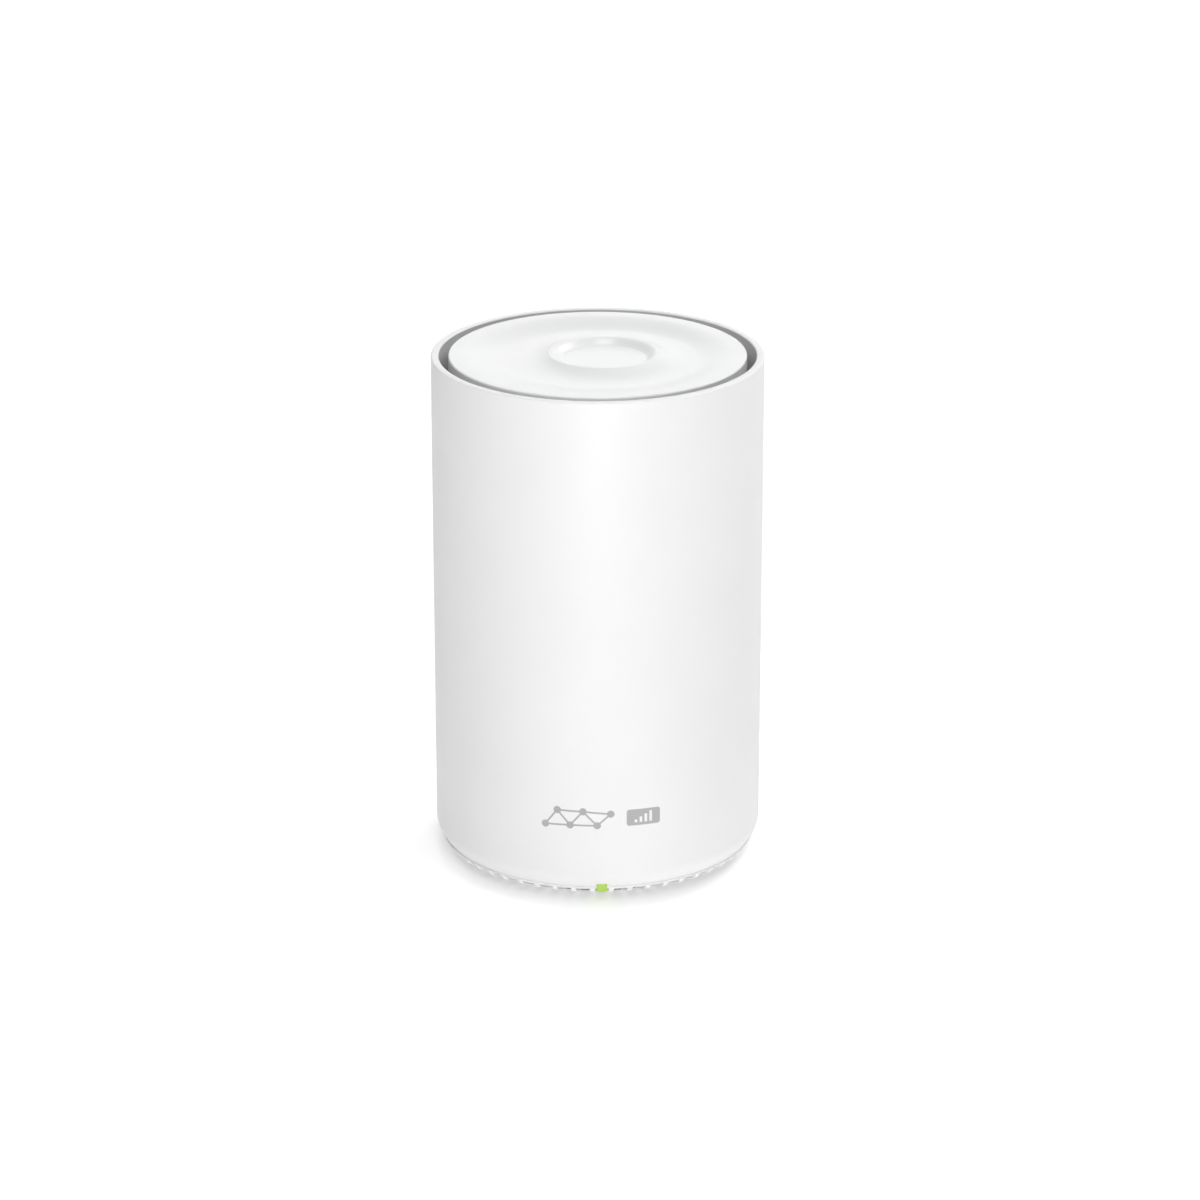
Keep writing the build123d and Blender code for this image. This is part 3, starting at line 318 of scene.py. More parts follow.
def spin_outline(bm, outline, closed=True, steps=SPIN_STEPS):
    """Spins an outline of (radius, height) points about the upright axis."""
    verts = [bm.verts.new((r, 0, z)) for r, z in outline]
    pairs = list(zip(verts, verts[1:]))
    if closed:
        pairs.append((verts[-1], verts[0]))
    edges = [bm.edges.new(pair) for pair in pairs]
    bmesh.ops.spin(
        bm, geom=verts + edges, cent=(0, 0, 0), axis=(0, 0, 1), angle=FULL_TURN, steps=steps, use_merge=True
    )
    bmesh.ops.remove_doubles(bm, verts=bm.verts, dist=MERGE_DISTANCE)
    slivers = [f for f in bm.faces if f.calc_area() < SLIVER_AREA]
    bmesh.ops.delete(bm, geom=slivers, context="FACES_ONLY")


def soften_edges(bm, edges, width, segments):
    """Rounds edges by a width."""
    bmesh.ops.bevel(
        bm, geom=edges, offset=width, segments=segments, profile=0.5, affect="EDGES", material=-1
    )


def edges_across(bm, axis):
    """Edges that lie square to an axis, which is 0 for x and 1 for y."""
    return [e for e in bm.edges if len({round(v.co[axis], 6) for v in e.verts}) == 1]


def push_out(bm, outline, step):
    """Fills an outline of points and pushes the face out by a step, into a solid."""
    face = bm.faces.new([bm.verts.new(point) for point in outline])
    grown = bmesh.ops.extrude_face_region(bm, geom=[face])["geom"]
    bmesh.ops.translate(bm, vec=step, verts=[v for v in grown if isinstance(v, bmesh.types.BMVert)])


def block(bm, low, high, round_by=0.0, segments=3):
    """Adds a box between two corners, with rounded edges."""
    low, high = Vector(low), Vector(high)
    made = bmesh.ops.create_cube(bm, size=1.0)["verts"]
    bmesh.ops.scale(bm, vec=high - low, verts=made)
    bmesh.ops.translate(bm, vec=(low + high) / 2, verts=made)
    if round_by:
        soften_edges(bm, [e for e in bm.edges if e.verts[0] in made], round_by, segments)


def join_loops(bm, loops):
    """Joins rings of points, each to the next and the last to the first, into a skin."""
    rings = []
    for loop in loops:
        verts = [bm.verts.new(point) for point in loop]
        rings.append([bm.edges.new(pair) for pair in zip(verts, verts[1:] + verts[:1])])
    for first, second in zip(rings, rings[1:]):
        bmesh.ops.bridge_loops(bm, edges=first + second)
    bmesh.ops.bridge_loops(bm, edges=rings[-1] + rings[0])


def cutter(name, build):
    """A shape to carve with, made by a builder."""
    bm = bmesh.new()
    build(bm)
    bmesh.ops.recalc_face_normals(bm, faces=bm.faces)
    mesh = bpy.data.meshes.new(name)
    bm.to_mesh(mesh)
    bm.free()
    return link(name, mesh)


def box_cutter(name, low, high):
    """A box to carve with."""
    return cutter(name, lambda bm: block(bm, low, high))


def prism(outline, near, far):
    """Builder of a prism between two y places, from an (x, z) outline."""
    return lambda bm: push_out(bm, [(x, near, z) for x, z in outline], (0, far - near, 0))


def upright_cylinder(x, y, low, high, radius, sides):
    """Builder of an upright cylinder."""
    def build(bm):
        made = bmesh.ops.create_cone(
            bm, cap_ends=True, segments=sides, radius1=radius, radius2=radius, depth=high - low
        )["verts"]
        bmesh.ops.translate(bm, vec=(x, y, (low + high) / 2), verts=made)
    return build


def carve(piece, *shapes, soften=0.0):
    """Cuts shapes out of a piece, for good, softens its edges and removes the shapes."""
    for shape in shapes:
        cut = piece.modifiers.new("cut", "BOOLEAN")
        cut.operation = "DIFFERENCE"
        cut.solver = "EXACT"
        cut.object = shape
    if soften:
        edge = piece.modifiers.new("edge", "BEVEL")
        edge.width = soften
        edge.segments = 2
        edge.limit_method = "ANGLE"
        edge.angle_limit = SOFTENED_ANGLE
    bpy.context.view_layer.update()
    carved = bpy.data.meshes.new_from_object(piece.evaluated_get(bpy.context.evaluated_depsgraph_get()))
    piece.modifiers.clear()
    piece.data = carved
    carved.shade_smooth()
    carved.set_sharp_from_angle(angle=math.radians(SHARP_ANGLE))
    for shape in shapes:
        bpy.data.objects.remove(shape)


# ------------------------------------------------------------------ material helpers
NOISE_LOW = 0.3         # nearly all of a noise's values lie between these
NOISE_HIGH = 0.7


def shader(name):
    """A new node material: its tree, its principled shader and its object coordinates."""
    material = bpy.data.materials.new(name)
    material.use_nodes = True
    tree = material.node_tree
    principled = tree.nodes["Principled BSDF"]
    place = tree.nodes.new("ShaderNodeTexCoord")
    return material, tree, principled, place.outputs["Object"]


def noise(tree, place, scale, detail=3.0, roughness=0.5):
    """Noise with a scale in waves per metre."""
    texture = tree.nodes.new("ShaderNodeTexNoise")
    texture.inputs["Scale"].default_value = scale
    texture.inputs["Detail"].default_value = detail
    texture.inputs["Roughness"].default_value = roughness
    tree.links.new(place, texture.inputs["Vector"])
    return texture.outputs["Fac"]


def map_range(tree, value, from_low, from_high, low, high):
    """Maps one range of values to another."""
    node = tree.nodes.new("ShaderNodeMapRange")
    node.inputs["From Min"].default_value = from_low
    node.inputs["From Max"].default_value = from_high
    node.inputs["To Min"].default_value = low
    node.inputs["To Max"].default_value = high
    tree.links.new(value, node.inputs["Value"])
    return node.outputs["Result"]


def blend_colours(tree, factor, first, second):
    """Goes from one colour to another as a noise rises."""
    ramp = tree.nodes.new("ShaderNodeValToRGB")
    ramp.color_ramp.elements[0].position = NOISE_LOW
    ramp.color_ramp.elements[0].color = (*first, 1)
    ramp.color_ramp.elements[1].position = NOISE_HIGH
    ramp.color_ramp.elements[1].color = (*second, 1)
    tree.links.new(factor, ramp.inputs["Fac"])
    return ramp.outputs["Color"]


def bump(tree, principled, height, strength, distance):
    """Lets a height texture tilt the surface."""
    node = tree.nodes.new("ShaderNodeBump")
    node.inputs["Strength"].default_value = strength
    node.inputs["Distance"].default_value = distance
    tree.links.new(height, node.inputs["Height"])
    tree.links.new(node.outputs["Normal"], principled.inputs["Normal"])


def moulded_plastic(name, colour, roughness, grain, depth, specular=0.5):
    """Moulded plastic: spark-eroded grain, slight colour drift and uneven gloss."""
    drift, gloss_drift = 0.012, 0.03
    material, tree, principled, place = shader(name)
    darker = tuple(c * (1 - drift) for c in colour)
    lighter = tuple(min(1.0, c * (1 + drift)) for c in colour)
    tint = blend_colours(tree, noise(tree, place, 28.0), darker, lighter)
    tree.links.new(tint, principled.inputs["Base Color"])
    gloss = noise(tree, place, 240.0, detail=2.0)
    gloss = map_range(tree, gloss, NOISE_LOW, NOISE_HIGH, roughness - gloss_drift, roughness + gloss_drift)
    tree.links.new(gloss, principled.inputs["Roughness"])
    bump(tree, principled, noise(tree, place, grain, detail=2.0), strength=0.12, distance=depth)
    principled.inputs["Specular IOR Level"].default_value = specular
    return material


def brushed_metal(name, colour, roughness, along=(1, 1, 40)):
    """Metal with fine drawn lines along one axis."""
    material, tree, principled, place = shader(name)
    stretch = tree.nodes.new("ShaderNodeMapping")
    stretch.inputs["Scale"].default_value = along
    tree.links.new(place, stretch.inputs["Vector"])
    lines = noise(tree, stretch.outputs["Vector"], 300.0, detail=5.0, roughness=0.7)
    gloss = map_range(tree, lines, NOISE_LOW, NOISE_HIGH, roughness - 0.08, roughness + 0.1)
    tree.links.new(gloss, principled.inputs["Roughness"])
    darker = tuple(c * 0.93 for c in colour)
    tint = blend_colours(tree, noise(tree, place, 60.0), darker, colour)
    tree.links.new(tint, principled.inputs["Base Color"])
    principled.inputs["Metallic"].default_value = 1.0
    bump(tree, principled, lines, strength=0.2, distance=0.03 * MM)
    return material


def circuit_board(name, colour, copper):
    """Solder mask over copper: a fine grid of tracks shows through."""
    material, tree, principled, place = shader(name)
    tracks = tree.nodes.new("ShaderNodeTexVoronoi")
    tracks.distance = "MANHATTAN"
    tracks.feature = "F2"
    tracks.inputs["Scale"].default_value = 420.0
    tree.links.new(place, tracks.inputs["Vector"])
    tint = blend_colours(tree, tracks.outputs["Distance"], colour, copper)
    tree.links.new(tint, principled.inputs["Base Color"])
    principled.inputs["Roughness"].default_value = 0.35
    principled.inputs["Coat Weight"].default_value = 0.4
    bump(tree, principled, tracks.outputs["Distance"], strength=0.3, distance=0.03 * MM)
    return material


def glowing_plastic(name, colour, glow, strength):
    """Clear tinted plastic lit from behind, a little uneven."""
    material, tree, principled, place = shader(name)
    dimmer = tuple(c * 0.85 for c in glow)
    tint = blend_colours(tree, noise(tree, place, 900.0, detail=2.0), dimmer, glow)
    tree.links.new(tint, principled.inputs["Emission Color"])
    principled.inputs["Emission Strength"].default_value = strength
    principled.inputs["Base Color"].default_value = (*colour, 1)
    principled.inputs["Roughness"].default_value = 0.3
    return material


def wear(piece, material):
    """Gives the whole piece one material."""
    piece.data.materials.clear()
    piece.data.materials.append(material)


# ------------------------------------------------------------------ materials
# Plastics: name, colour, roughness, grain in bumps per metre, depth of the grain
finishes = {
    "shell_white": moulded_plastic("shell_white", (0.80, 0.80, 0.80), 0.42, 1400.0, 0.01 * MM),
    "cover_white": moulded_plastic("cover_white", (0.80, 0.803, 0.808), 0.34, 1400.0, 0.006 * MM),
    # base_white is the base's own white made a little lighter than the sleeve's: partly painted highlight,
    # for the light the fins catch.
    "base_white": moulded_plastic("base_white", (0.84, 0.84, 0.84), 0.5, 1400.0, 0.01 * MM),
    "panel_white": moulded_plastic("panel_white", (0.74, 0.74, 0.74), 0.5, 2000.0, 0.03 * MM),
    "vent_grey": moulded_plastic("vent_grey", (0.045, 0.045, 0.048), 0.6, 1500.0, 0.04 * MM),
    "foot_rubber": moulded_plastic("foot_rubber", (0.15, 0.15, 0.155), 0.8, 1800.0, 0.08 * MM, specular=0.3),
    "label_film": moulded_plastic("label_film", (0.62, 0.62, 0.62), 0.35, 900.0, 0.01 * MM),
    "frame_grey": moulded_plastic("frame_grey", (0.27, 0.28, 0.29), 0.6, 1500.0, 0.04 * MM),
    "socket_black": moulded_plastic("socket_black", (0.018, 0.018, 0.019), 0.28, 1500.0, 0.01 * MM),
    "jack_plastic": moulded_plastic("jack_plastic", (0.024, 0.024, 0.026), 0.35, 1500.0, 0.02 * MM),
    "card_white": moulded_plastic("card_white", (0.72, 0.72, 0.70), 0.25, 900.0, 0.01 * MM),
    "button_grey": moulded_plastic("button_grey", (0.33, 0.33, 0.34), 0.5, 1800.0, 0.03 * MM),
    "connector_ivory": moulded_plastic("connector_ivory", (0.66, 0.62, 0.5), 0.45, 1500.0, 0.02 * MM),
    "cable_grey": moulded_plastic("cable_grey", (0.06, 0.06, 0.063), 0.55, 1500.0, 0.02 * MM),
    "chip_black": moulded_plastic("chip_black", (0.02, 0.02, 0.021), 0.6, 5000.0, 0.02 * MM),
    "pad_blue": moulded_plastic("pad_blue", (0.17, 0.32, 0.48), 0.75, 1200.0, 0.05 * MM),
    "capacitor_sleeve": moulded_plastic("capacitor_sleeve", (0.02, 0.022, 0.035), 0.25, 900.0, 0.01 * MM),
    "ferrite_grey": moulded_plastic("ferrite_grey", (0.03, 0.03, 0.032), 0.7, 4000.0, 0.03 * MM),
    "coax_black": moulded_plastic("coax_black", (0.015, 0.015, 0.016), 0.4, 1500.0, 0.01 * MM),
    "led_resin": glowing_plastic("led_resin", (0.5, 0.8, 0.3), (0.6, 1.0, 0.35), 4.0),
    "light_green": glowing_plastic("light_green", (0.34, 0.50, 0.07), (0.42, 0.62, 0.10), 0.22),
    "contact_gold": brushed_metal("contact_gold", (0.85, 0.63, 0.26), 0.28),
    "stamped_steel": brushed_metal("stamped_steel", (0.62, 0.62, 0.61), 0.34),
    "module_shield": brushed_metal("module_shield", (0.56, 0.56, 0.57), 0.38),
    "sink_aluminium": brushed_metal("sink_aluminium", (0.70, 0.71, 0.72), 0.42, along=(40, 40, 1)),
    "screw_steel": brushed_metal("screw_steel", (0.5, 0.5, 0.5), 0.36),
    "board_green": circuit_board("board_green", (0.01, 0.07, 0.03), (0.03, 0.13, 0.06)),
    "antenna_board": circuit_board("antenna_board", (0.012, 0.03, 0.025), (0.05, 0.09, 0.07)),
}
# Painted shade: this grey stands for the shade down the gap inside the sleeve's rim, on what is white
# plastic.
gap_wall_painted_shade = moulded_plastic("gap_wall_painted_shade", (0.58, 0.58, 0.59), 0.7, 1500.0, 0.03 * MM)
# Painted shade: this grey stands for the shade on the slots' end walls between the fins, on what is white
# plastic.
slot_wall_painted_shade = moulded_plastic("slot_wall_painted_shade", (0.62, 0.62, 0.62), 0.7, 1500.0, 0.03 * MM)
ink_grey = moulded_plastic("ink_grey", (0.40, 0.40, 0.40), 0.45, 1500.0, 0.005 * MM)

slot_of = {row["node"]: row["material_slot"] for row in frame["record"]["subparts"]}
for node, thing in frame["nodes"].items():
    wear(thing, finishes[slot_of[node]])


def dress(piece, *nodes):
    """The piece stands for these nodes and wears their finish."""
    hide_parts(*nodes)
    wear(piece, finishes[slot_of[nodes[0]]])


def paint_shade_on_walls(piece, material, low, high, inner, outer):
    """Paints shade on the upright faces between two heights and two radii, as a second, darker material."""
    piece.data.materials.append(material)
    for face in piece.data.polygons:
        radius = math.hypot(face.center.x, face.center.y)
        is_upright = abs(face.normal.z) < 0.5
        if is_upright and low < face.center.z < high and inner < radius < outer:
            face.material_index = 1


# ------------------------------------------------------------------ places from the frame
shell_low, shell_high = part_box("outer_shell")
cover_low, cover_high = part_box("top_cover")
base_low, base_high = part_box("base")
panel_low, panel_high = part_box("rear_panel")
foot_low, foot_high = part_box("foot_ring")
light_low, light_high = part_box("light_pipe")
button_low, button_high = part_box("reset_button")

SLEEVE_RADIUS = shell_high[0] - SKIN
INNER_RADIUS = SLEEVE_RADIUS - RIM_WALL
RIM = shell_high[2]
LIP = shell_low[2]
LIP_RADIUS = SLEEVE_RADIUS - LIP_DRAW_IN
BEAD_TOP = LIP + LIP_LAND + BEAD_RISE
BEND_IN = FOOT_BEND_RADIUS * (1 - math.cos(FOOT_BEND_ANGLE))
BEND_LOW = BEAD_TOP + (LIP_DRAW_IN + BEAD_STEP - BEND_IN) / math.tan(FOOT_BEND_ANGLE)
BEND_HIGH = BEND_LOW + FOOT_BEND_RADIUS * math.sin(FOOT_BEND_ANGLE)
COVER_RADIUS = cover_high[0]
TRAY_TOP = UNDERSIDE + TRAY_SHEET
CONE_FOOT = LIP_RADIUS - (LIP - base_low[2]) * CONE_RUN
TRAY_RADIUS = CONE_FOOT - FIN_FOOT
PANEL_MIDDLE = (panel_low[2] + panel_high[2]) / 2
PANEL_FACE = panel_low[1] + PANEL_SHEET
BUTTON_X = (button_low[0] + button_high[0]) / 2
BUTTON_Y = (button_low[1] + button_high[1]) / 2


# ------------------------------------------------------------------ sleeve
def make_sleeve():
    """Seamless sleeve: level rim, rounded lower edge, thin lip, socket recess and a notch for the light."""
    corners = []
    for step in range(FOOT_BEND_STEPS + 1):
        angle = -FOOT_BEND_ANGLE * (1 - step / FOOT_BEND_STEPS)
        radius = SLEEVE_RADIUS - FOOT_BEND_RADIUS * (1 - math.cos(angle))
        corners.append((radius, BEND_HIGH + FOOT_BEND_RADIUS * math.sin(angle), 0))
    corners += [
        (SLEEVE_RADIUS, RIM, RIM_OUTER_ROUND),
        (INNER_RADIUS, RIM, RIM_INNER_ROUND),
        (INNER_RADIUS, LIP + LIP_TAPER, LIP_TAPER_ROUND),
        (LIP_RADIUS - LIP_WALL, LIP, LIP_ROUND),
        (LIP_RADIUS, LIP, SMALL),
        (LIP_RADIUS, LIP + LIP_LAND, SMALL),
        (LIP_RADIUS - BEAD_STEP, BEAD_TOP, FINE),
    ]
    bm = bmesh.new()
    spin_outline(bm, rounded(corners))
    sleeve = finish_piece(bm, "sleeve")
    left, right = light_low[0] - LIGHT_GAP, light_high[0] + LIGHT_GAP
    bottom, top = LIP - LIGHT_CUT_BELOW_LIP, light_high[2] + LIGHT_GAP
    notch = [(left, bottom), (right, bottom), (right, top), (left, top)]
    recess = [(x, z + PANEL_MIDDLE) for x, z in stadium(RECESS_WIDTH, RECESS_LENGTH)]
    carve(
        sleeve,
        cutter("recess_cut", prism(recess, *RECESS_CUT)),
        cutter("light_cut", prism(notch, *LIGHT_CUT)),
    )
    return sleeve


sleeve = make_sleeve()
dress(sleeve, "outer_shell")
# The sleeve's inner wall down the gap wears painted shade.
paint_shade_on_walls(sleeve, gap_wall_painted_shade, LIP + LIP_TAPER, RIM - GAP_SHADE_BELOW_RIM, 0, INNER_RADIUS + GAP_SHADE_MARGIN)


# ------------------------------------------------------------------ top cover
def smooth_step(value):
    """Rises smoothly from 0 to 1, with level ends."""
    value = max(0.0, min(1.0, value))
    return value * value * (3 - 2 * value)


def cover_height(radius):
    """Height of the cover's face below the rim: ring floor, wall, crest, flared side, dish, level band."""
    if radius <= CREST_INNER:
        along = (radius - RING_FLOOR) / (CREST_INNER - RING_FLOOR)
        return -RING_DEPTH * (1 - smooth_step(along))
    if radius <= CREST_OUTER:
        return 0.0
    if radius <= DISH_LOW:
        along = (radius - CREST_OUTER) / (DISH_LOW - CREST_OUTER)
        return -DISH_DEPTH * (1 - (1 - along) ** FLARE_POWER)
    if radius <= DISH_EDGE:
        along = (radius - DISH_LOW) / (DISH_EDGE - DISH_LOW)
        return -DISH_DEPTH * (1 - smooth_step(along))
    return 0.0


def make_top_cover():
    """Disc with a shallow dish round an off-centre ring, and a skirt below its edge."""
    edge = COVER_RADIUS - COVER_EDGE_ROUND
    face = []
    radius = 0.0
    while radius < edge:
        face.append((radius, RIM + cover_height(radius)))
        near_ring = RING_FLOOR - FINE_INSIDE < radius < CREST_OUTER + FINE_OUTSIDE
        radius += FINE_PITCH if near_ring else COARSE_PITCH
    skirt_foot = cover_high[2] - SKIRT_DROP
    inner = COVER_RADIUS - COVER_SHEET
    ceiling = RIM - DISH_DEPTH - COVER_SHEET
    skirt = rounded([
        (edge - 1 * MM, RIM, 0),    # only aims the next corner
        (COVER_RADIUS, RIM, COVER_EDGE_ROUND),
        (COVER_RADIUS, skirt_foot, SKIRT_ROUND),
        (inner, skirt_foot, SKIRT_ROUND),
        (inner, ceiling, 1 * MM),
        (0.0, ceiling, 0),
    ])
    bm = bmesh.new()
    spin_outline(bm, face + skirt[1:], closed=False)
    # The circles drift from the ring's centre to the disc's
    still = CREST_OUTER + FINE_OUTSIDE
    for vert in bm.verts:
        radius = math.hypot(vert.co.x, vert.co.y)
        drift = 1 - smooth_step((radius - still) / (DISH_EDGE - still))
        vert.co.x += RING_CENTRE.x * drift
        vert.co.y += RING_CENTRE.y * drift
    return finish_piece(bm, "cover", sharp=COVER_SHARP_ANGLE)


dress(make_top_cover(), "top_cover")


# ------------------------------------------------------------------ base
def cone_height(radius):
    """Height of the base's cone at a radius."""
    return LIP - (LIP_RADIUS - radius) / CONE_RUN


def make_tray():
    """Flat floor with the label's recess, the foot's groove and the button's hole."""
    groove_outer = foot_high[0] + GROOVE_GAP
    bm = bmesh.new()
    spin_outline(bm, rounded([
        (0.0, UNDERSIDE + LABEL_RECESS, 0),
        (LABEL_RECESS_RADIUS, UNDERSIDE + LABEL_RECESS, SLIGHT),
        (LABEL_RECESS_RADIUS, UNDERSIDE, SLIGHT),
        (GROOVE_INNER, UNDERSIDE, SMALL),
        (GROOVE_INNER, foot_high[2], FINE),
        (groove_outer, foot_high[2], FINE),
        (groove_outer, UNDERSIDE, SMALL),
        (TRAY_RADIUS, UNDERSIDE, SMALL),
        (TRAY_RADIUS, TRAY_TOP, 0),
        (0.0, TRAY_TOP, 0),
    ]))
    tray = finish_piece(bm, "tray")
    hole = upright_cylinder(
        BUTTON_X, BUTTON_Y, UNDERSIDE - MM, TRAY_TOP + MM, BUTTON_HOLE, BUTTON_HOLE_SIDES
    )
    carve(tray, cutter("button_cut", hole))
    return reopen(tray)


def make_fin(spigot):
    """Mesh of one fin: a blade from the tray to the spigot, with an upright nose under the lip."""
    nose = LIP_RADIUS - FIN_NOSE_INSET
    nose_low = LIP - FIN_NOSE_DROP
    outline = rounded([
        (CONE_FOOT - FIN_ROOT, UNDERSIDE, 0),
        (CONE_FOOT, UNDERSIDE, 0),
        (nose - FIN_NOSE_SLOPE, nose_low - FIN_NOSE_SLOPE, FULL),
        (nose, nose_low, FULL),
        (nose, LIP - FIN_LIP_GAP, FINE),
        (spigot - FIN_HEAD_INSET, LIP + FIN_HEAD_RISE, 0),
        (CONE_FOOT - FIN_ROOT, TRAY_TOP, 0),
    ])
    bm = bmesh.new()
    push_out(bm, [(r, -FIN_THICKNESS / 2, z) for r, z in outline], (0, FIN_THICKNESS, 0))
    bmesh.ops.recalc_face_normals(bm, faces=bm.faces)
    soften_edges(bm, edges_across(bm, 1), FIN_SOFTENING, segments=1)
    fin = bpy.data.meshes.new("fin")
    bm.to_mesh(fin)
    bm.free()
    return fin


def make_base():
    """Underside: the tray, a spigot that goes up into the sleeve, and radial fins between them."""
    bm = make_tray()
    spigot = LIP_RADIUS - LIP_WALL - SPIGOT_GAP
    spigot_top = base_high[2] - SPIGOT_BELOW_TOP
    spin_outline(bm, rounded([
        (spigot - SPIGOT_TOE, cone_height(spigot - SPIGOT_TOE), SOFT),
        (spigot, cone_height(spigot), SOFT),
        (spigot, spigot_top, SOFT),
        (spigot - SPIGOT_WALL, spigot_top, SOFT),
        (spigot - SPIGOT_WALL, cone_height(spigot) + SPIGOT_HEEL_RISE, SOFT),
        (spigot - SPIGOT_TOE, cone_height(spigot) + SPIGOT_TOE_RISE, SOFT),
    ]))
    fin = make_fin(spigot)
    for i in range(FIN_COUNT):
        known = len(bm.verts)
        bm.from_mesh(fin)
        bm.verts.ensure_lookup_table()
        turn = Matrix.Rotation(FULL_TURN * (i + 0.5) / FIN_COUNT, 3, "Z")
        bmesh.ops.rotate(bm, verts=bm.verts[known:], cent=(0, 0, 0), matrix=turn)
    return finish_piece(bm, "underside")


underside = make_base()
dress(underside, "base")
# The slots' end walls between the fins wear painted shade.
paint_shade_on_walls(
    underside,
    slot_wall_painted_shade,
    UNDERSIDE,
    base_high[2],
    TRAY_RADIUS - SLOT_SHADE_MARGIN,
    TRAY_RADIUS + SLOT_SHADE_MARGIN,
)


# ------------------------------------------------------------------ button and foot
def make_reset_button():
    """Turned button: dished end, flange and stem."""
    end = button_low[2]
    flange_low = end + BUTTON_FLANGE_RISE
    flange_high = flange_low + BUTTON_FLANGE
    flange_radius = button_high[0] - BUTTON_X
    bm = bmesh.new()
    spin_outline(bm, rounded([
        (0.0, end + BUTTON_DISH, 0),
        (BUTTON_DISH_BEND[0], end + BUTTON_DISH_BEND[1], BUTTON_DISH_ROUND),
        (BUTTON_DISH_EDGE, end, SOFT),
        (BUTTON_RADIUS, end, FULL),
        (BUTTON_RADIUS, flange_low, FINE),
        (flange_radius, flange_low, SMALL),
        (flange_radius, flange_high, SMALL),
        (BUTTON_STEM_RADIUS, flange_high, FINE),
        (BUTTON_STEM_RADIUS, button_high[2], SMALL),
        (0.0, button_high[2], 0),
    ]), steps=BUTTON_SIDES)
    bmesh.ops.translate(bm, vec=(BUTTON_X, BUTTON_Y, 0), verts=bm.verts)
    return finish_piece(bm, "button", body="reset_key")


dress(make_reset_button(), "reset_button")


def make_foot():
    """Rubber ring with shallow grooves in its sole."""
    outer = foot_high[0]
    sole = foot_low[2]
    groove_top = sole + SOLE_GROOVE_DEPTH
    corners = [(FOOT_INNER, foot_high[2], SOFT), (FOOT_INNER, sole, FOOT_EDGE_ROUND)]
    pitch = (outer - FOOT_INNER) / SOLE_BANDS
    for i in range(1, SOLE_BANDS):
        middle = FOOT_INNER + i * pitch
        corners += [
            (middle - SOLE_GROOVE_MOUTH, sole, SLIGHT),
            (middle - SOLE_GROOVE_BOTTOM, groove_top, SLIGHT),
            (middle + SOLE_GROOVE_BOTTOM, groove_top, SLIGHT),
            (middle + SOLE_GROOVE_MOUTH, sole, SLIGHT),
        ]
    corners += [(outer, sole, FOOT_EDGE_ROUND), (outer, foot_high[2], SOFT)]
    bm = bmesh.new()
    spin_outline(bm, rounded(corners))
    return finish_piece(bm, "foot")


dress(make_foot(), "foot_ring")


# ------------------------------------------------------------------ socket panel and sockets
def sleeve_y(x, radius):
    """The y of a round wall's back at an x."""
    return math.sqrt(radius * radius - x * x)


def make_panel():
    """Recessed plate with windows for the sockets, and a collar whose lip follows the sleeve."""
    bm = bmesh.new()
    block(bm, panel_low, (panel_high[0], PANEL_FACE, panel_high[2]), round_by=PANEL_ROUND, segments=2)
    plate = finish_piece(bm, "panel")
    near, far = panel_low[1] - MM, PANEL_FACE + MM
    windows = []
    for node in ("dc_jack", "lan_jack_lower", "lan_jack_middle", "lan_jack_upper"):
        low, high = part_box(node)
        window_low = (low[0] - SOCKET_GAP, near, low[2] - SOCKET_GAP)
        window_high = (high[0] + SOCKET_GAP, far, high[2] + SOCKET_GAP)
        windows.append(box_cutter(node + "_window", window_low, window_high))
    card_low, card_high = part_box("sim_card")
    slot_low, slot_high = card_low - CARD_GAP, card_high + CARD_GAP
    slot_low.y, slot_high.y = near, far
    windows.append(box_cutter("card_window", slot_low, slot_high))
    carve(plate, *windows, soften=WINDOW_SOFTENING)
    bm = reopen(plate)
    foot = panel_low[1] + COLLAR_SINK
    # Rings of the collar: inset, y (or None to follow the sleeve), step back from it
    steps = [
        (0, foot, 0),
        (0, None, -COLLAR_ROUND),
        (COLLAR_BEND, None, -COLLAR_BEND),
        (COLLAR_ROUND, None, 0),
        (COLLAR_WALL - COLLAR_ROUND, None, 0),
        (COLLAR_WALL - COLLAR_BEND, None, -COLLAR_BEND),
        (COLLAR_WALL, None, -COLLAR_ROUND),
        (COLLAR_WALL, PANEL_FACE + COLLAR_ROUND, 0),
        (COLLAR_WALL + COLLAR_BEND, PANEL_FACE + COLLAR_BEND, 0),
        (COLLAR_WALL + COLLAR_ROUND, PANEL_FACE - COLLAR_OVERLAP, 0),
        (COLLAR_WALL + COLLAR_ROUND, foot, 0),
    ]
    loops = []
    for inset, y, back in steps:
        outline = stadium(PANEL_WIDTH - 2 * inset, PANEL_LENGTH - 2 * inset, steps=COLLAR_STEPS)
        loops.append([
            (x, sleeve_y(x, panel_high[1]) + back if y is None else y, z + PANEL_MIDDLE)
            for x, z in outline
        ])
    join_loops(bm, loops)
    return finish_piece(bm, "socket_panel")


dress(make_panel(), "rear_panel")


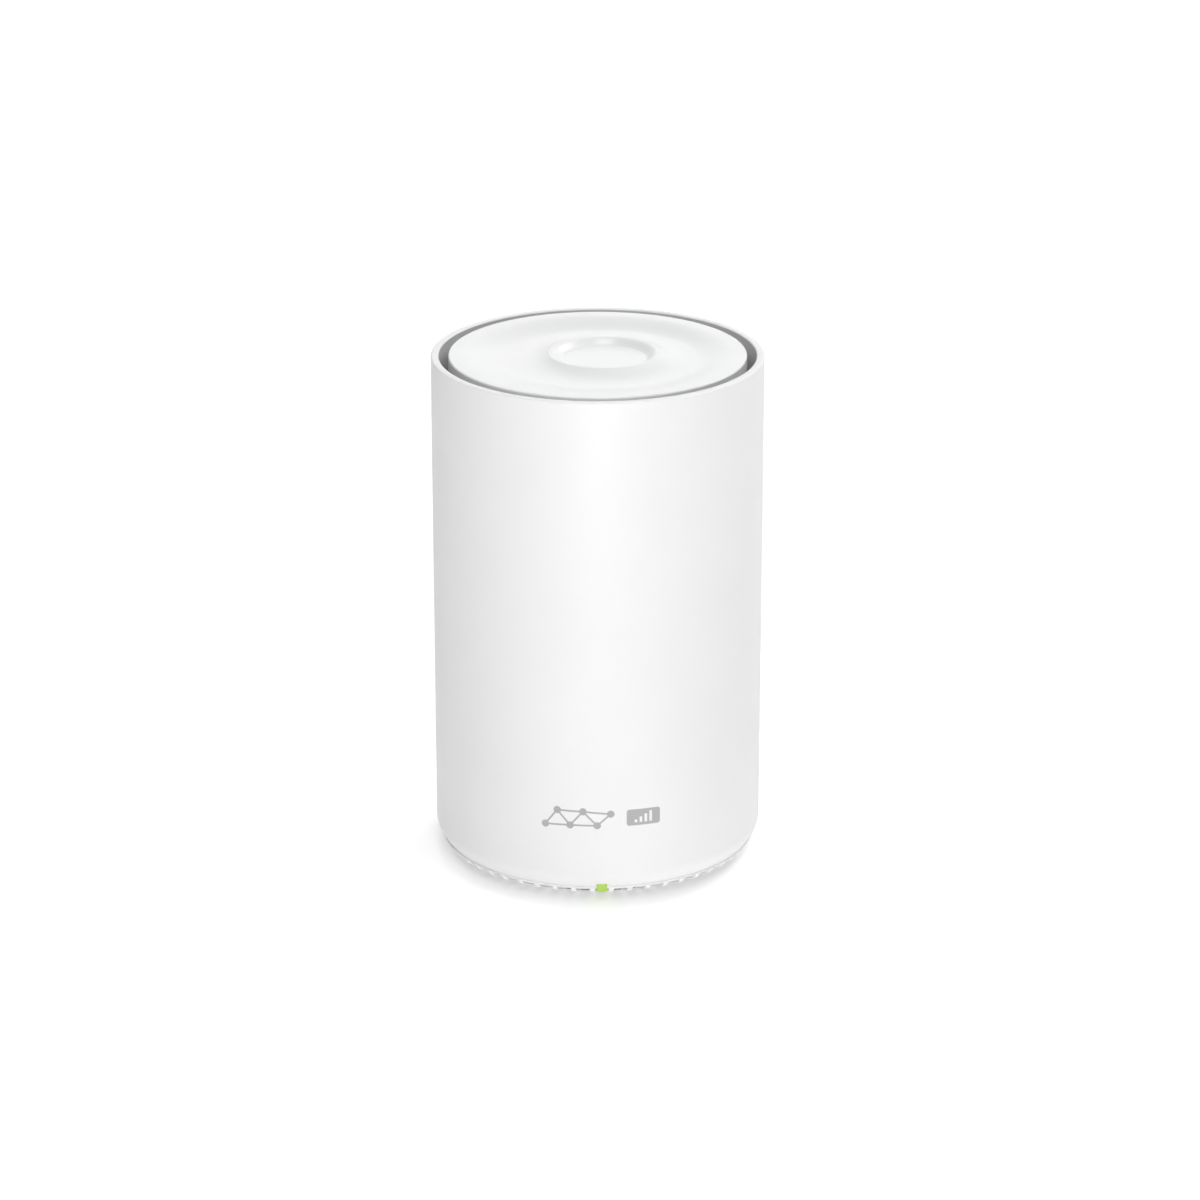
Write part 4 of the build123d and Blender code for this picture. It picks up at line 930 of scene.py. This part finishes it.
def make_network_jack(node, name):
    """Eight-pole modular jack lying on its side: mouth, latch step and key step."""
    low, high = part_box(node)
    middle = (low[2] + high[2]) / 2
    mouth_low = low[0] + LAN_MOUTH_LOW
    mouth_high = mouth_low + LAN_MOUTH_RISE
    latch_high = mouth_high + LAN_LATCH_RISE - LAN_KEY_RISE
    key_high = latch_high + LAN_KEY_RISE
    half, latch, key = LAN_MOUTH_WIDTH / 2, LAN_LATCH_WIDTH / 2, LAN_KEY_WIDTH / 2
    outline = [
        (mouth_low, -half), (mouth_low, half), (mouth_high, half), (mouth_high, latch),
        (latch_high, latch), (latch_high, key), (key_high, key), (key_high, -key),
        (latch_high, -key), (latch_high, -latch), (mouth_high, -latch), (mouth_high, -half),
    ]
    bm = bmesh.new()
    block(bm, low, high)
    jack = finish_piece(bm, name)
    mouth = prism([(x, z + middle) for x, z in outline], high[1] - LAN_DEPTH, high[1] + MM)
    carve(jack, cutter(name + "_mouth", mouth), soften=LAN_SOFTENING)
    return jack


for which in ("lower", "middle", "upper"):
    dress(make_network_jack("lan_jack_" + which, "network_jack_" + which), "lan_jack_" + which)


def make_power_inlet():
    """Square-bodied barrel inlet with a countersunk bore, and its pin."""
    low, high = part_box("dc_jack")
    pin_low, pin_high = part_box("dc_jack_pin")
    pin_radius = (pin_high[0] - pin_low[0]) / 2
    mouth = high[1]

    def lay_down(bm):
        """Turns a piece spun about Z so that it lies along Y, on the pin's line."""
        centre = ((pin_low[0] + pin_high[0]) / 2, 0, (pin_low[2] + pin_high[2]) / 2)
        bmesh.ops.rotate(bm, verts=bm.verts, cent=(0, 0, 0), matrix=Matrix.Rotation(-math.pi / 2, 3, "X"))
        bmesh.ops.translate(bm, vec=centre, verts=bm.verts)

    def bore(bm):
        spin_outline(bm, [
            (0.0, mouth - DC_DEPTH),
            (DC_BORE, mouth - DC_DEPTH),
            (DC_BORE, mouth - DC_FLARE_DEPTH),
            (DC_BORE + DC_FLARE, mouth + 0.1 * MM),
            (DC_BORE + DC_FLARE, mouth + MM),
            (0.0, mouth + MM),
        ], closed=False, steps=DC_BORE_SIDES)
        lay_down(bm)

    bm = bmesh.new()
    block(bm, low, high)
    inlet = finish_piece(bm, "power_inlet")
    carve(inlet, cutter("bore", bore), soften=DC_SOFTENING)
    bm = bmesh.new()
    spin_outline(bm, rounded([
        (0.0, pin_low[1], 0),
        (pin_radius, pin_low[1], FINE),
        (pin_radius, pin_high[1] - DC_PIN_TAPER, DC_PIN_TAPER_ROUND),
        (pin_radius * DC_PIN_TIP, pin_high[1], DC_PIN_TIP_ROUND),
        (0.0, pin_high[1], 0),
    ]), steps=DC_PIN_SIDES)
    lay_down(bm)
    return inlet, finish_piece(bm, "inlet_pin")


power_inlet, inlet_pin = make_power_inlet()
dress(power_inlet, "dc_jack")
dress(inlet_pin, "dc_jack_pin")


# ------------------------------------------------------------------ card
def make_card():
    """Card with one cut corner and six contact pads on its inner face."""
    low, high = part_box("sim_card")
    inner_face = low[0] + PAD_THICKNESS
    outline = rounded([
        (low[1], low[2], CARD_CORNER / 2),
        (high[1], low[2], CARD_CORNER),
        (high[1], high[2], CARD_CORNER),
        (low[1] + CARD_KEY, high[2], FINE),
        (low[1], high[2] - CARD_KEY, FINE),
    ])
    bm = bmesh.new()
    push_out(bm, [(inner_face, y, z) for y, z in outline], (high[0] - low[0] - PAD_THICKNESS, 0, 0))
    bmesh.ops.recalc_face_normals(bm, faces=bm.faces)
    soften_edges(bm, edges_across(bm, 0), CARD_SOFTENING, segments=2)
    card = finish_piece(bm, "card_body", body="card")
    middle_y, middle_z = (low[1] + high[1]) / 2, (low[2] + high[2]) / 2
    half_pad = Vector((PAD_THICKNESS, PAD_DEPTH, PAD_WIDTH)) / 2
    bm = bmesh.new()
    for row in (-1, 1):
        for column in (-1, 0, 1):
            centre = Vector((
                low[0] + PAD_THICKNESS / 2,
                middle_y + row * PAD_ROW_OFFSET,
                middle_z + column * PAD_PITCH,
            ))
            block(bm, centre - half_pad, centre + half_pad, round_by=PAD_ROUND, segments=1)
    return card, finish_piece(bm, "card_pads", body="card")


card_body, card_pads = make_card()
dress(card_body, "sim_card")
wear(card_pads, finishes["contact_gold"])


# ------------------------------------------------------------------ printed mark
def flat_shape(bm, outline):
    """Adds a flat shape to a drawing, from points in mm."""
    bm.faces.new([bm.verts.new((x * MM, 0, z * MM)) for x, z in outline])


def stroke(bm, start, end, width):
    """Straight printed line between two dots."""
    start, end = Vector(start), Vector(end)
    side = (end - start).orthogonal().normalized() * width / 2
    flat_shape(bm, [start + side, end + side, end - side, start - side])


def dot(bm, centre, radius):
    """Round printed dot."""
    turns = [FULL_TURN * i / CHAIN_DOT_SIDES for i in range(CHAIN_DOT_SIDES)]
    flat_shape(bm, [(centre[0] + radius * math.cos(t), centre[1] + radius * math.sin(t)) for t in turns])


def wrap(bm, radius):
    """Slices a flat drawing (x across, z up) finely and wraps it round the front of the sleeve."""
    for line in range(-PRINT_REACH, PRINT_REACH + 1):
        geometry = bm.verts[:] + bm.edges[:] + bm.faces[:]
        bmesh.ops.bisect_plane(bm, geom=geometry, dist=1e-9, plane_co=(line * MM, 0, 0), plane_no=(1, 0, 0))
    for vert in bm.verts:
        angle = vert.co.x / radius
        vert.co = (radius * math.sin(angle), -radius * math.cos(angle), vert.co.z + PRINT_HEIGHT)


def make_print():
    """Wordless print: a chain of linked dots, and beside it a filled badge with rising bars."""
    bm = bmesh.new()
    for neighbours in (CHAIN_DOTS[1:], CHAIN_DOTS[2:]):
        for first, second in zip(CHAIN_DOTS, neighbours):
            stroke(bm, first, second, CHAIN_LINE)
    for centre in CHAIN_DOTS:
        dot(bm, centre, CHAIN_DOT_RADIUS)
    (left, bottom), (right, top) = BADGE_LOW, BADGE_HIGH
    flat_shape(bm, rounded([
        (left, bottom, BADGE_ROUND),
        (right, bottom, BADGE_ROUND),
        (right, top, BADGE_ROUND),
        (left, top, BADGE_ROUND),
    ]))
    wrap(bm, SLEEVE_RADIUS + PRINT_LIFT)
    ink = finish_piece(bm, "printed_mark", sharp=FLAT_SHADED)
    bm = bmesh.new()
    for bar in range(BAR_COUNT):
        left = BAR_START + BAR_PITCH * bar
        right = left + BAR_WIDTH
        top = BAR_TOP + BAR_RISE * bar
        flat_shape(bm, [(left, BAR_FOOT), (right, BAR_FOOT), (right, top), (left, top)])
    wrap(bm, SLEEVE_RADIUS + PRINT_LIFT + BARS_LIFT)
    return ink, finish_piece(bm, "printed_bars", sharp=FLAT_SHADED)


printed_mark, printed_bars = make_print()
wear(printed_mark, ink_grey)
wear(printed_bars, finishes["shell_white"])


# ------------------------------------------------------------------ status light
def make_light_window():
    """Green window with rounded edges."""
    bm = bmesh.new()
    block(bm, light_low, light_high, round_by=LIGHT_ROUND)
    return finish_piece(bm, "light_window")


dress(make_light_window(), "light_pipe")


# ------------------------------------------------------------------ stage, lights and camera
def make_floor():
    """White floor that glows a little, more so far away."""
    bpy.ops.mesh.primitive_plane_add(size=FLOOR_SIZE, location=(0, 0, 0))
    floor = bpy.context.object
    floor.name = "floor"
    material, tree, principled, place = shader("floor_white")
    reach = tree.nodes.new("ShaderNodeVectorMath")
    reach.operation = "LENGTH"
    tree.links.new(place, reach.inputs[0])
    glow = map_range(tree, reach.outputs["Value"], GLOW_START, GLOW_END, NEAR_GLOW, FAR_GLOW)
    tree.links.new(glow, principled.inputs["Emission Strength"])
    principled.inputs["Emission Color"].default_value = (1, 1, 1, 1)
    principled.inputs["Base Color"].default_value = (FLOOR_WHITE, FLOOR_WHITE, FLOOR_WHITE, 1)
    principled.inputs["Roughness"].default_value = 0.9
    principled.inputs["Specular IOR Level"].default_value = 0.1
    wear(floor, material)


def make_surround():
    """White surround that is seen and mirrored, and lights nothing."""
    world = bpy.data.worlds.new("studio")
    world.use_nodes = True
    nodes, links = world.node_tree.nodes, world.node_tree.links
    surround = nodes["Background"]
    surround.inputs["Color"].default_value = (1, 1, 1, 1)
    path = nodes.new("ShaderNodeLightPath")
    strength = nodes.new("ShaderNodeMath")
    strength.operation = "MULTIPLY_ADD"
    strength.inputs[1].default_value = REFLECTED_SURROUND
    links.new(path.outputs["Is Glossy Ray"], strength.inputs[0])
    links.new(path.outputs["Is Camera Ray"], strength.inputs[2])
    links.new(strength.outputs["Value"], surround.inputs["Strength"])
    bpy.context.scene.world = world


def soft_light(name, azimuth, elevation, distance, size, power):
    """Area light aimed at the node's middle: azimuth 0 is in front of it, and 90 is on its right."""
    turn, rise = math.radians(azimuth), math.radians(elevation)
    outward = Vector((math.sin(turn) * math.cos(rise), -math.cos(turn) * math.cos(rise), math.sin(rise)))
    data = bpy.data.lights.new(name, "AREA")
    data.shape = "RECTANGLE"
    data.size, data.size_y = size
    data.energy = power
    lamp = link(name, data)
    lamp.visible_camera = False
    lamp.location = outward * distance + Vector((0, 0, LIGHT_AIM))
    lamp.rotation_euler = (-outward).to_track_quat("-Z", "Y").to_euler()


def make_camera():
    """Camera in front of the node, a little above it."""
    data = bpy.data.cameras.new("camera")
    data.type = "PERSP"
    data.sensor_width = CAMERA_SENSOR
    data.lens = CAMERA_LENS
    camera = link("camera", data)
    camera.location = CAMERA_PLACE
    camera.rotation_euler = (math.pi / 2 - CAMERA_PITCH, 0, -CAMERA_YAW)
    bpy.context.scene.camera = camera


make_floor()
make_surround()
for light in LIGHTS:
    soft_light(*light)
make_camera()
bpy.context.scene.view_settings.view_transform = "Standard"
